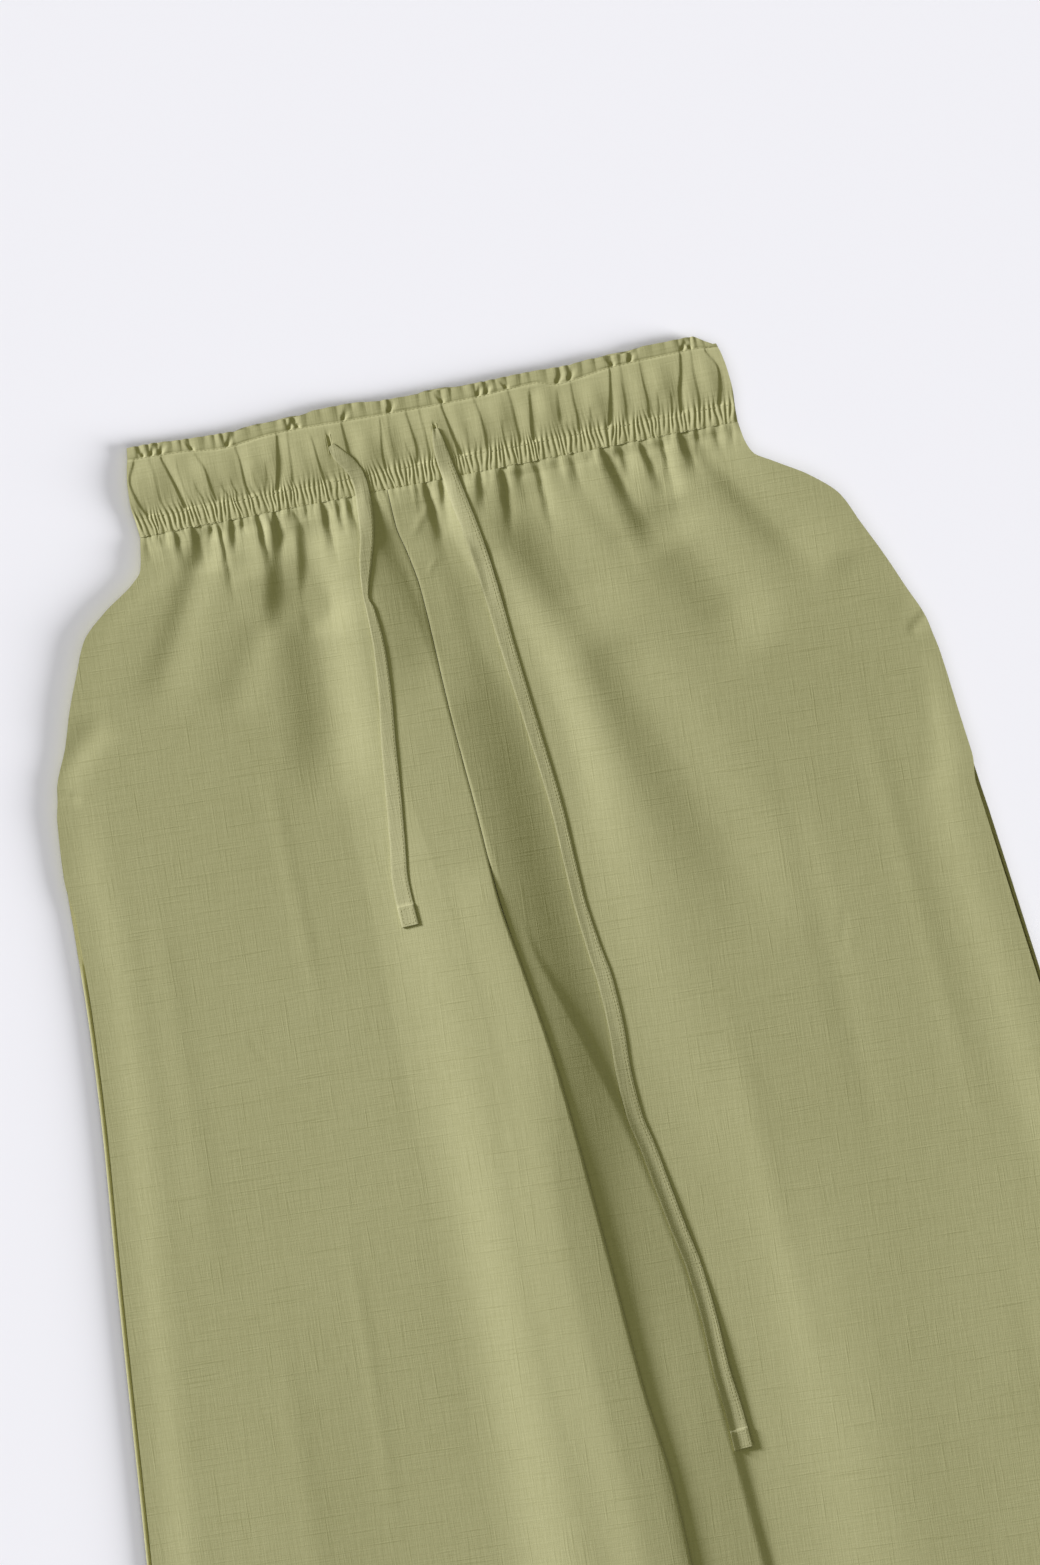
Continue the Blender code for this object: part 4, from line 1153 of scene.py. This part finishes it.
RUFFLE_TOP = [
    SeamPoint(-175, -2.2), SeamPoint(-155, -1.8), SeamPoint(-139, -0.8), SeamPoint(-124, -0.3),
    SeamPoint(-110, 0.2), SeamPoint(-88, -0.9), SeamPoint(-72, -1.4), SeamPoint(-62, -3.0),
    SeamPoint(-42, -3.0), SeamPoint(-24, -1.1), SeamPoint(0, -0.8), SeamPoint(30, -0.5),
    SeamPoint(62, -1.1), SeamPoint(85, -0.5), SeamPoint(98, -1.6), SeamPoint(120, -1.0),
    SeamPoint(130, -3.1), SeamPoint(160, -3.0), SeamPoint(166, -0.5), SeamPoint(173, 3.3),
]
ruffle_top = smooth_curve(RUFFLE_TOP)
header_line = smooth_curve(HEADER_LINE)
print(len(RUFFLE_LINES) - 1, "waves and", len(NOTCHES), "notches in the ruffle")

# %% [markdown]
# A wave of the ruffle is steeper on its right. Waves beside a notch stand higher. The
# notches fan out upwards from the header, one to the left and then two to the right.

# %% Waves and notches of the ruffle
ruffle_dice = random.Random(5)
ruffle_heights = [
    ruffle_dice.uniform(0.12, 0.4) + 0.5 * float(bell(min(abs(line - n) for n in NOTCHES), 4.0))
    for line in RUFFLE_LINES]
RUFFLE_BASE = 1.9
SWAY = 0.9               # how far the waves sway at the free edge
NOTCH_DEPTH = 0.8
PINCH_DEPTH = 1.0        # of the pinch at a notch's foot


def ruffle_wave(u):
    """Height of the ruffle's waves along the band."""
    phase = np.interp(u, RUFFLE_LINES, np.arange(len(RUFFLE_LINES)))
    size = np.interp(phase, np.arange(len(RUFFLE_LINES)), ruffle_heights)
    return size * np.sin(np.pi * (phase % 1.0) ** 1.4)


def ruffle_height(u, d):
    """Height of the ruffle, whose waves grow and sway towards its free edge."""
    loose = np.clip((header_line(u) - d) / 9.0, 0.0, 1.0)
    wave = ruffle_wave(u + SWAY * loose * np.sin(u * 0.31))
    return RUFFLE_BASE + (0.4 + 1.0 * loose) * wave


def notch_depth(u, d):
    """How deep the notches are at each place over the header."""
    rise = np.clip(header_line(u) - d, 0.0, None)
    depth = np.zeros(u.shape)
    for number, notch in enumerate(NOTCHES):
        fan = 0.5 if number % 3 else -0.4
        opened = lopsided(u - notch - fan * rise, 0.5 + 0.15 * rise, 1.2 + 0.3 * rise)
        depth += NOTCH_DEPTH * opened * ease(rise, 0.2, 1.4) * (1 - 0.75 * ease(rise, 2, 8))
        pinched = lopsided(u - notch, 0.6, 1.5) * bell(rise - 1.2, 1.3)
        depth += PINCH_DEPTH * pinched * (rise > 0)
    return depth


print("the ruffle is", sample(ruffle_height, 13, 0), "mm high on a wave in the middle")

# %% [markdown]
# The casing swells between its two rows of stitches and takes over the shirring's gathers
# at its foot. The shirred strip is all gathers. Two rows of stitches press a faint groove
# into it, the header is a deeper groove, and the two buttonholes are slits.

# %% Height of the waistband's front
CASING_BASE = 2.2
SWELL = 1.3              # of the casing over its two ends
SHIRRING_BASE = 1.9
SHIRRING_GATHERS = 0.6
HEADER_GROOVE = 0.3
SHIRRING_ROWS = (39.6, 49.3)
SHIRRING_GROOVES = (0.12, 0.05)
SLIT_DEPTH = 1.6
Slit = namedtuple("Slit", "u d half_width half_height")
SLITS = [Slit(-57.4, 18.0, 1.0, 4.6), Slit(3.7, 21.5, 1.0, 2.6)]


def casing_height(u, d, gathers):
    """Height of the casing between the header and the shirring."""
    header = header_line(u)
    part = np.clip((d - header) / (CASING_END - header), 0.0, 1.0)
    slow = 0.45 * np.sin(u * 0.19 + 0.06 * d) + 0.35 * np.sin(u * 0.47 + 1.3 - 0.05 * d)
    swell = (SWELL + 0.5 * slow) * np.sin(np.pi * part)
    at_foot = np.exp(-np.clip(CASING_END - d, 0, None) / 3.4)
    return CASING_BASE + swell - crease_depth(u, d) + 0.5 * (gathers - 0.5) * at_foot


def waistband_height(u, d):
    """Upper face of the waistband's front."""
    gathers = merged_gathers(u, d)
    from_header = d - header_line(u)
    to_casing = ease(from_header, -1.2, 1.6)
    to_shirring = ease(d, CASING_END - 1.0, CASING_END + 2.0)
    height = ruffle_height(u, d) * (1 - to_casing) + casing_height(u, d, gathers) * to_casing
    shirring = SHIRRING_BASE + SHIRRING_GATHERS * gathers
    height = height * (1 - to_shirring) + shirring * to_shirring
    height = height - HEADER_GROOVE * bell(from_header, 0.65) - notch_depth(u, d)
    for row, groove in zip(SHIRRING_ROWS, SHIRRING_GROOVES):
        height = height - groove * bell(d - row, 0.6)
    for slit in SLITS:
        inside = bell(u - slit.u, slit.half_width) * bell(d - slit.d, slit.half_height)
        height = height - SLIT_DEPTH * inside
    return 2 * SOLID_LAYER + SOLID_GAP + np.maximum(height, 0.1)


print("the casing is", sample(waistband_height, -40, 22), "mm high at its middle")

# %% [markdown]
# The band's ends aren't upright: the casing is a little wider than the ruffle and the
# shirring. So the sheets are laid out straight first, and near both ends their places are
# drawn in or out to the real outline.

# %% Ends of the waistband
END_REACH = 22.0         # how far in from its ends the band is drawn
BAND_ENDS = [
    Section(-4.5, -172.0, 169.5), Section(3.5, -173.0, 171.4), Section(10, -174.4, 173.2),
    Section(20, -175.9, 174.8), Section(32, -176.4, 175.6), Section(42, -175.2, 175.1),
    Section(50, -174.5, 175.0),
]
band_left = column_curve(BAND_ENDS, "left")
band_right = column_curve(BAND_ENDS, "right")


def draw_ends(u, d):
    """Draw the band's ends in or out to their real outline."""
    near_left = 1 - ease(u, BAND_LEFT, BAND_LEFT + END_REACH)
    near_right = ease(u, BAND_RIGHT - END_REACH, BAND_RIGHT)
    return u + near_left * (band_left(d) - BAND_LEFT) + near_right * (band_right(d) - BAND_RIGHT)


print("the casing is", round(float(band_right(32) - band_left(32)), 1), "mm wide")

# %% [markdown]
# The ruffle and the casing are one sheet, as they are one piece of cloth on the garment,
# and the shirred strip is another. Their columns stand close enough for every gather.


# %% Front of the waistband
def band_sheet(name, u, d, nodes):
    """Make one sheet of the waistband's front from its places."""
    top = waistband_height(u, d)
    inward = np.minimum(u - BAND_LEFT, BAND_RIGHT - u)
    thick = THIN + np.maximum(top - 2 * THIN - CLEAR, 0.0) * (1 - ease(inward, 0.1, 1.0))
    piece = cloth_panel(name, draw_ends(u, d), d, top, thick)
    return finish_piece(piece, linen_waist, replaces=nodes)


def make_casing():
    """The ruffle and the casing, in one sheet that the header's stitch line divides."""
    columns = graded([(BAND_LEFT, 0.3), (BAND_LEFT + 1.2, 0.44), (BAND_RIGHT - 1.2, 0.3), (BAND_RIGHT, 0)])
    part = graded([(0.0, 0.1), (0.4, 0.08), (1.0, 0)])[:, None]
    header = header_line(columns)[None, :]
    top_edge = ruffle_top(columns)[None, :] - 0.45 * (ruffle_wave(columns)[None, :] - 0.5)
    upper = top_edge + (header - top_edge) * part[:-1]
    lower = graded([(0.0, 0.02), (0.12, 0.045), (0.72, 0.022), (1.0, 0)])[:, None]
    d = np.concatenate([upper, header + (CASING_END - header) * lower])
    u = np.broadcast_to(columns[None, :], d.shape)
    return band_sheet("linen_casing_front", u, d, ["waistband_ruffle_front", "waistband_casing_front"])


def make_shirring():
    """The shirred strip below the casing, with columns close enough for its gathers."""
    columns = graded([(BAND_LEFT, 0.32), (BAND_RIGHT, 0)])
    rows = graded([(CASING_END, 0.5), (BAND_FOOT - 0.03, 0)])
    d = np.broadcast_to(rows[:, None], (len(rows), len(columns)))
    u = np.broadcast_to(columns[None, :], d.shape)
    return band_sheet("linen_shirring_front", u, d, ["waistband_shirring_front"])


casing_front = make_casing()
shirring_front = make_shirring()
print("waistband front:", len(casing_front.data.polygons), len(shirring_front.data.polygons), "faces")

# %% [markdown]
# The back of the band lies flat on the table under the front. Its own ruffle stands a
# little higher than the front's in places, so it peeks out over it.

# %% Back of the waistband
BACK_LOWER = 0.7         # how much lower the back's ruffle ends where it doesn't peek out
PEEK = 1.9               # how much higher than that it reaches where it does
BACK_RUFFLE = 0.8        # height of its waves


def make_waistband_back():
    """The back of the band: flat on the table, with its own ruffle above the front's."""
    columns = graded([(BAND_LEFT + 1.0, 0.9), (BAND_RIGHT - 1.0, 0)])
    peek = np.clip(np.sin(columns * 0.061 + 0.9) + 0.3 * np.sin(columns * 0.23), 0.0, 1.0)
    top_edge = ruffle_top(columns) + BACK_LOWER - PEEK * peek
    part = np.linspace(0.0, 1.0, 12)
    upper_d = top_edge[None, :] + (STITCH_D - top_edge)[None, :] * part[:-1, None]
    lower = graded([(STITCH_D, 2.0), (BAND_FOOT - HALF_GAP, 0)])
    d = np.concatenate([upper_d, np.broadcast_to(lower[:, None], (len(lower), len(columns)))])
    u = np.broadcast_to(columns[None, :], d.shape)
    loose = np.clip((STITCH_D - d) / 11.0, 0.0, 1.0)
    wave = (0.5 + 0.5 * np.sin(columns * 0.62 + np.sin(columns * 0.2)))[None, :]
    under = BACK_RUFFLE * loose * wave
    piece = cloth_panel("linen_waistband_back", draw_ends(u, d), d, under + THIN, THIN)
    return finish_piece(piece, linen_waist, replaces=["waistband_back"])


waistband_back = make_waistband_back()
print("waistband back:", len(waistband_back.data.polygons), "faces")

# %% [markdown]
# The drawstring comes out of two buttonholes in the casing and lies on the front. It is a
# flat tape of the same cloth, folded and stitched. Each free end follows a route of points
# on one smooth curve. The height comes from looking straight down on the cloth below it,
# so the tape rises and falls with the folds.

# %% Routes of the drawstring's free ends
Tape = namedtuple("Tape", "u d width")
LEFT_TAPE = [
    Tape(-56.8, 19, 4.0), Tape(-53.6, 25, 7.0), Tape(-49, 31, 8.0), Tape(-45.6, 38, 8.0),
    Tape(-44.3, 46, 8.0), Tape(-44.6, 59, 9.0), Tape(-46.2, 73, 8.2), Tape(-49.8, 88, 7.2),
    Tape(-52.6, 101, 4.6), Tape(-53.6, 109, 3.2), Tape(-52.4, 116, 5.0), Tape(-51.6, 136, 6.6),
    Tape(-53, 160, 7.5), Tape(-57, 195, 8.5), Tape(-60, 225, 9.0), Tape(-62.7, 250, 9.0),
    Tape(-65.5, 275, 9.5), Tape(-64.5, 298, 10.0),
]
RIGHT_TAPE = [
    Tape(3.9, 21, 3.4), Tape(4.2, 28, 6.4), Tape(4.8, 36, 8.0), Tape(6.8, 49, 8.8),
    Tape(9.8, 66, 9.4), Tape(13.6, 86, 9.3), Tape(16.4, 107, 9.2), Tape(20.5, 150, 8.5),
    Tape(26, 200, 7.5), Tape(31, 250, 7.0), Tape(33, 300, 7.0), Tape(36, 328, 8.0),
    Tape(39.3, 352, 9.0), Tape(40.3, 378, 9.0), Tape(39.5, 402, 9.0), Tape(40.8, 428, 9.0),
    Tape(45.2, 450, 9.0), Tape(48.5, 470, 9.0), Tape(53, 496, 9.0), Tape(58, 522, 9.0),
    Tape(60.8, 552, 9.0), Tape(62, 582, 9.5), Tape(64.5, 606, 10.0), Tape(66, 629, 11.0),
]
print("the ends lie down to", LEFT_TAPE[-1].d, "and", RIGHT_TAPE[-1].d, "mm from the waist")

# %% [markdown]
# Blender can ask where a ray meets a mesh. A ray straight down from above gives the height
# of the cloth at any place, for the tapes that lie on it and for the stitches.


# %% Looking down on the cloth
def surface_below(pieces):
    """The given sheets as one tree, for looking straight down on them."""
    points, faces, offset = [], [], 0
    for piece in pieces:
        mesh = piece.data
        flat = np.empty(len(mesh.vertices) * 3)
        mesh.vertices.foreach_get("co", flat)
        points.extend(map(tuple, flat.reshape(-1, 3)))
        faces.extend(tuple(i + offset for i in p.vertices) for p in mesh.polygons)
        offset += len(mesh.vertices)
    return BVHTree.FromPolygons(points, faces)


def height_at(tree, u, d):
    """Height of what lies under a place, in millimetres."""
    hit = tree.ray_cast(place(u, d, 100.0), Vector((0, 0, -1)))
    return hit[0].z / MM if hit[0] else 0.0


cloth_tree = surface_below([front_left, front_right, casing_front, shirring_front])
print("the cloth is", round(height_at(cloth_tree, 60, 200), 1), "mm high beside the tape")

# %% [markdown]
# A tape is a row of sections along its route. Each station holds its distance from the
# buttonhole, its place, the way the tape runs there and its width. The stations stand
# closer where the folded tip begins, so that its edge is crisp.

# %% Stations along a tape
TIP_LENGTH = 12.0
TAPE_STEP = 2.0
Station = namedtuple("Station", "s u d along_u along_d width")


def tape_stations(route):
    """Even steps along a smooth curve through the route, closer at the tip, and its length."""
    lengths = [0.0]
    for a, b in zip(route, route[1:]):
        lengths.append(lengths[-1] + math.hypot(b.u - a.u, b.d - a.d))
    u_at = smooth_curve([(s, p.u) for s, p in zip(lengths, route)])
    d_at = smooth_curve([(s, p.d) for s, p in zip(lengths, route)])
    width_at = smooth_curve([(s, p.width) for s, p in zip(lengths, route)])
    tip_start = lengths[-1] - TIP_LENGTH
    places = graded([(0, TAPE_STEP), (tip_start, 0.4), (tip_start + 0.8, 1.4), (lengths[-1], 0)])
    stations = []
    for s in places:
        du = float(u_at(s + 1) - u_at(s - 1))
        dd = float(d_at(s + 1) - d_at(s - 1))
        length = math.hypot(du, dd)
        stations.append(Station(s, float(u_at(s)), float(d_at(s)), du / length, dd / length,
                                float(width_at(s))))
    return stations, lengths[-1]


def across_tape(station, side):
    """The place at a share of the tape's width to the side of its middle."""
    reach = station.width * side
    return station.u + station.along_d * reach, station.d - station.along_u * reach


print("stations:", len(tape_stations(LEFT_TAPE)[0]), "and", len(tape_stations(RIGHT_TAPE)[0]))

# %% [markdown]
# The tape rests on the highest cloth near each station. Across its width it bends and
# tilts only a little, and along it the heights are averaged over five stations, because
# folded tape is stiffer than the cloth below it.

# %% How the tape rests on the cloth
ACROSS = (-0.5, -0.47, -0.36, -0.2, 0.0, 0.2, 0.36, 0.47, 0.5)
MOST_TILT = 1.6          # between the highest and the lowest place of one station
TAPE_CLEAR = 0.12


def running(rows, reach, measure):
    """A measure, such as the mean, of each row and its neighbours up to reach rows away."""
    padded = np.pad(rows, ((reach, reach), (0, 0)), mode="edge")
    return measure([padded[i:i + len(rows)] for i in range(2 * reach + 1)], axis=0)


def resting_heights(stations):
    """Height of the tape's lower face at each station, at each place across it."""
    cloth = np.array([[height_at(cloth_tree, *across_tape(station, side)) for side in ACROSS]
                      for station in stations])
    highest = running(cloth, 1, np.max)
    highest = np.maximum(highest, highest.max(axis=1, keepdims=True) - MOST_TILT)
    return running(highest, 2, np.mean) + TAPE_CLEAR


first_rest = resting_heights(tape_stations(LEFT_TAPE)[0][:3])[0]
print("the left end starts", round(float(first_rest.mean()), 1), "mm over the table")

# %% [markdown]
# Across its width the tape is thickest just inside its two edges, where it is folded in,
# and thin at the very edge. Its upper and lower faces together make one ring of points,
# and the rings make a tube that is closed at both ends.

# %% Section of the tape
PROFILE = (0.78, 0.95, 1.0, 0.94, 0.92, 0.94, 1.0, 0.95, 0.78)


def tape_ring(station, base, thick):
    """One section of the tape: its upper face, and back along its lower one."""
    upper = [place(*across_tape(station, side), height + thick * share)
             for side, height, share in zip(ACROSS, base, PROFILE)]
    lower = [place(*across_tape(station, side), height) for side, height in zip(ACROSS, base)]
    return upper + lower[::-1]


def tube_faces(rings, count):
    """Faces of a closed tube of rings with count points each."""
    faces = []
    for start in range(0, (rings - 1) * count, count):
        for i in range(count):
            a, b = start + i, start + (i + 1) % count
            faces.append((a, b, b + count, a + count))
    faces.append(tuple(range(count))[::-1])
    faces.append(tuple((rings - 1) * count + i for i in range(count)))
    return faces


print("points in a ring:", 2 * len(ACROSS))

# %% [markdown]
# Both free ends are made alike. At the tip the tape is folded over, so it is thicker there.
# The line through the tape's middle is kept as well.

# %% Drawstring tapes
TAPE_THICK = 0.75
TIP_FOLD = 0.5


def face_outwards(piece):
    """Turn all faces of a closed piece outwards."""
    bpy.ops.object.select_all(action="DESELECT")
    piece.select_set(True)
    bpy.context.view_layer.objects.active = piece
    bpy.ops.object.mode_set(mode="EDIT")
    bpy.ops.mesh.select_all(action="SELECT")
    bpy.ops.mesh.normals_make_consistent(inside=False)
    bpy.ops.object.mode_set(mode="OBJECT")


def make_tape(name, route, node):
    """One free end of the drawstring, lying on the cloth."""
    stations, total = tape_stations(route)
    points, path = [], []
    for station, base in zip(stations, resting_heights(stations)):
        in_tip = station.s > total - TIP_LENGTH + 0.4
        points.extend(tape_ring(station, base, TAPE_THICK + TIP_FOLD * in_tip))
        middle = base[len(ACROSS) // 2] + TAPE_THICK / 2
        path.append(tuple(place(station.u, station.d, middle)))
    mesh = bpy.data.meshes.new(name)
    mesh.from_pydata([tuple(point) for point in points], [], tube_faces(len(stations), 2 * len(ACROSS)))
    piece = bpy.data.objects.new(name, mesh)
    bpy.context.scene.collection.objects.link(piece)
    face_outwards(piece)
    mesh.shade_smooth()
    mesh.set_sharp_from_angle(angle=math.radians(50))
    finish_piece(piece, linen_tape, replaces=[node])
    print(name, "is", round(total), "mm long with", len(mesh.polygons), "faces")
    return piece, path, total


left_tape, left_path, left_length = make_tape("drawstring_tape_left", LEFT_TAPE, "drawstring_left")
right_tape, right_path, right_length = make_tape(
    "drawstring_tape_right", RIGHT_TAPE, "drawstring_right")

# %% [markdown]
# The sewing is done stitch by stitch. One stitch is a thin, pointed grain of thread. A row
# is a line of places on the garment: each stitch in it spans the cloth between two of them
# and takes its height from the cloth below.


# %% Places of the stitches in a row
def walk(points, pitch, length):
    """Ends of the stitches along a line of (u, d) points, pitch apart."""
    places = np.array(points, dtype=float)
    runs = np.concatenate([[0.0], np.cumsum(np.hypot(*np.diff(places, axis=0).T))])
    starts = np.arange(0.4, runs[-1] - length, pitch)
    return [tuple(np.interp((s, s + length), runs, places[:, i]) for i in (0, 1)) for s in starts]


print("stitches on 10 mm:", len(walk([(0, 0), (10, 0)], 2.5, 1.8)))

# %% [markdown]
# Every stitch is a copy of one small sphere, drawn out and turned along its span. It has
# only two dozen faces, because there are many hundreds of stitches. The stitches of one
# kind are joined into one piece, and their places are then applied to its mesh.

# %% Sewing
THREAD = 0.17            # half of the thread's thickness
STAND_OUT = 0.3          # how far a stitch's middle lies over the cloth, as a share of that


def thread_grain():
    """The grain of thread that each stitch is a copy of."""
    bpy.ops.mesh.primitive_uv_sphere_add(segments=6, ring_count=4, radius=1.0)
    grain = bpy.context.object
    for polygon in grain.data.polygons:
        polygon.use_smooth = True
    return grain


def lay_stitch(name, grain, start, end, thick):
    """One stitch between two places in the frame."""
    stitch = bpy.data.objects.new(name, grain.data)
    bpy.context.scene.collection.objects.link(stitch)
    stitch.location = (start + end) / 2
    stitch.rotation_euler = (end - start).to_track_quat("Z", "Y").to_euler()
    stitch.scale = (thick * MM, thick * MM, (end - start).length * 0.55)
    return stitch


def sew(name, rows, tree, pitch, length, thick=THREAD):
    """Lay rows of stitches on the surface in tree, and join them."""
    grain = thread_grain()
    stitches = []
    for (u0, u1), (d0, d1) in [span for row in rows for span in walk(row, pitch, length)]:
        start = place(u0, d0, height_at(tree, u0, d0) + STAND_OUT * thick)
        end = place(u1, d1, height_at(tree, u1, d1) + STAND_OUT * thick)
        stitches.append(lay_stitch(name, grain, start, end, thick))
    bpy.ops.object.select_all(action="DESELECT")
    first = stitches[0]
    first.data = grain.data.copy()
    bpy.data.objects.remove(grain)
    for stitch in stitches:
        stitch.select_set(True)
    bpy.context.view_layer.objects.active = first
    count = len(stitches)
    bpy.ops.object.join()
    bpy.ops.object.transform_apply(location=True, rotation=True, scale=True)
    print(name, "has", count, "stitches")
    return finish_piece(first, thread)


print("the thread is", 2 * THREAD, "mm thick")

# %% [markdown]
# Four kinds of rows are sewn on the cloth: the header under the ruffle, the two rows on the
# shirring, the hems, and the close stitches on both sides of the buttonholes.


# %% Seams of the band and the hems
def along(line, start, end, step=1.0):
    """Points along a line that is given as d over u."""
    return [(u, float(line(u))) for u in np.arange(start, end, step)]


def level(d):
    """A line straight across the garment."""
    return lambda u: d


def slit_edges(slit):
    """The rows of stitches on both sides of a buttonhole."""
    ends = (slit.d - slit.half_height - 1.5, slit.d + slit.half_height + 1.5)
    return [[(slit.u + side * (slit.half_width + 0.3), d) for d in ends] for side in (-1, 1)]


HEM_STITCH = HEM_TOP + 2.2
HEM_SIDES = ((left_outline(HEM_STITCH) + 6, centre_line(HEM_STITCH) - 3),
             (centre_line(HEM_STITCH) + 3, right_outline(HEM_STITCH) - 6))
header_row = along(lambda u: header_line(u) + 0.2, -171, 170)
shirring_rows = [along(level(row), -173, 173) for row in SHIRRING_ROWS]
hem_rows = [along(level(HEM_STITCH), start, end, 3.0) for start, end in HEM_SIDES]
slit_rows = [row for slit in SLITS for row in slit_edges(slit)]
band_tree = surface_below([casing_front, shirring_front])
leg_tree = surface_below([front_left, front_right])
sew("header_stitches", [header_row], band_tree, pitch=2.3, length=1.7)
sew("shirring_stitches", shirring_rows, band_tree, pitch=2.5, length=1.5)
sew("hem_stitches", hem_rows, leg_tree, pitch=2.9, length=2.1)
sew("buttonhole_stitches", slit_rows, band_tree, pitch=0.75, length=0.9, thick=0.24)

# %% [markdown]
# The left tape is stitched once down one edge, and the right one twice. A square of
# stitches holds down the folded tip of each.


# %% Stitches on the tapes
def tape_line(route, side, start, end):
    """A line down a tape at a share of its width, between two shares of its length."""
    stations, total = tape_stations(route)
    return [across_tape(station, side) for station in stations if start <= station.s / total <= end]


def tip_box(route):
    """The stitched square at a tape's folded tip."""
    left, right = tape_line(route, 0.34, 0.0, 1.0), tape_line(route, -0.34, 0.0, 1.0)
    return [left[-8], left[-2], right[-2], right[-8], left[-8]]


tape_rows = [tape_line(LEFT_TAPE, 0.34, 0.12, 0.96), tip_box(LEFT_TAPE),
             tape_line(RIGHT_TAPE, 0.36, 0.03, 0.975), tape_line(RIGHT_TAPE, 0.2, 0.03, 0.975),
             tip_box(RIGHT_TAPE)]
tape_tree = surface_below([left_tape, right_tape])
sew("tape_stitches", tape_rows, tape_tree, pitch=2.2, length=1.5, thick=0.13)
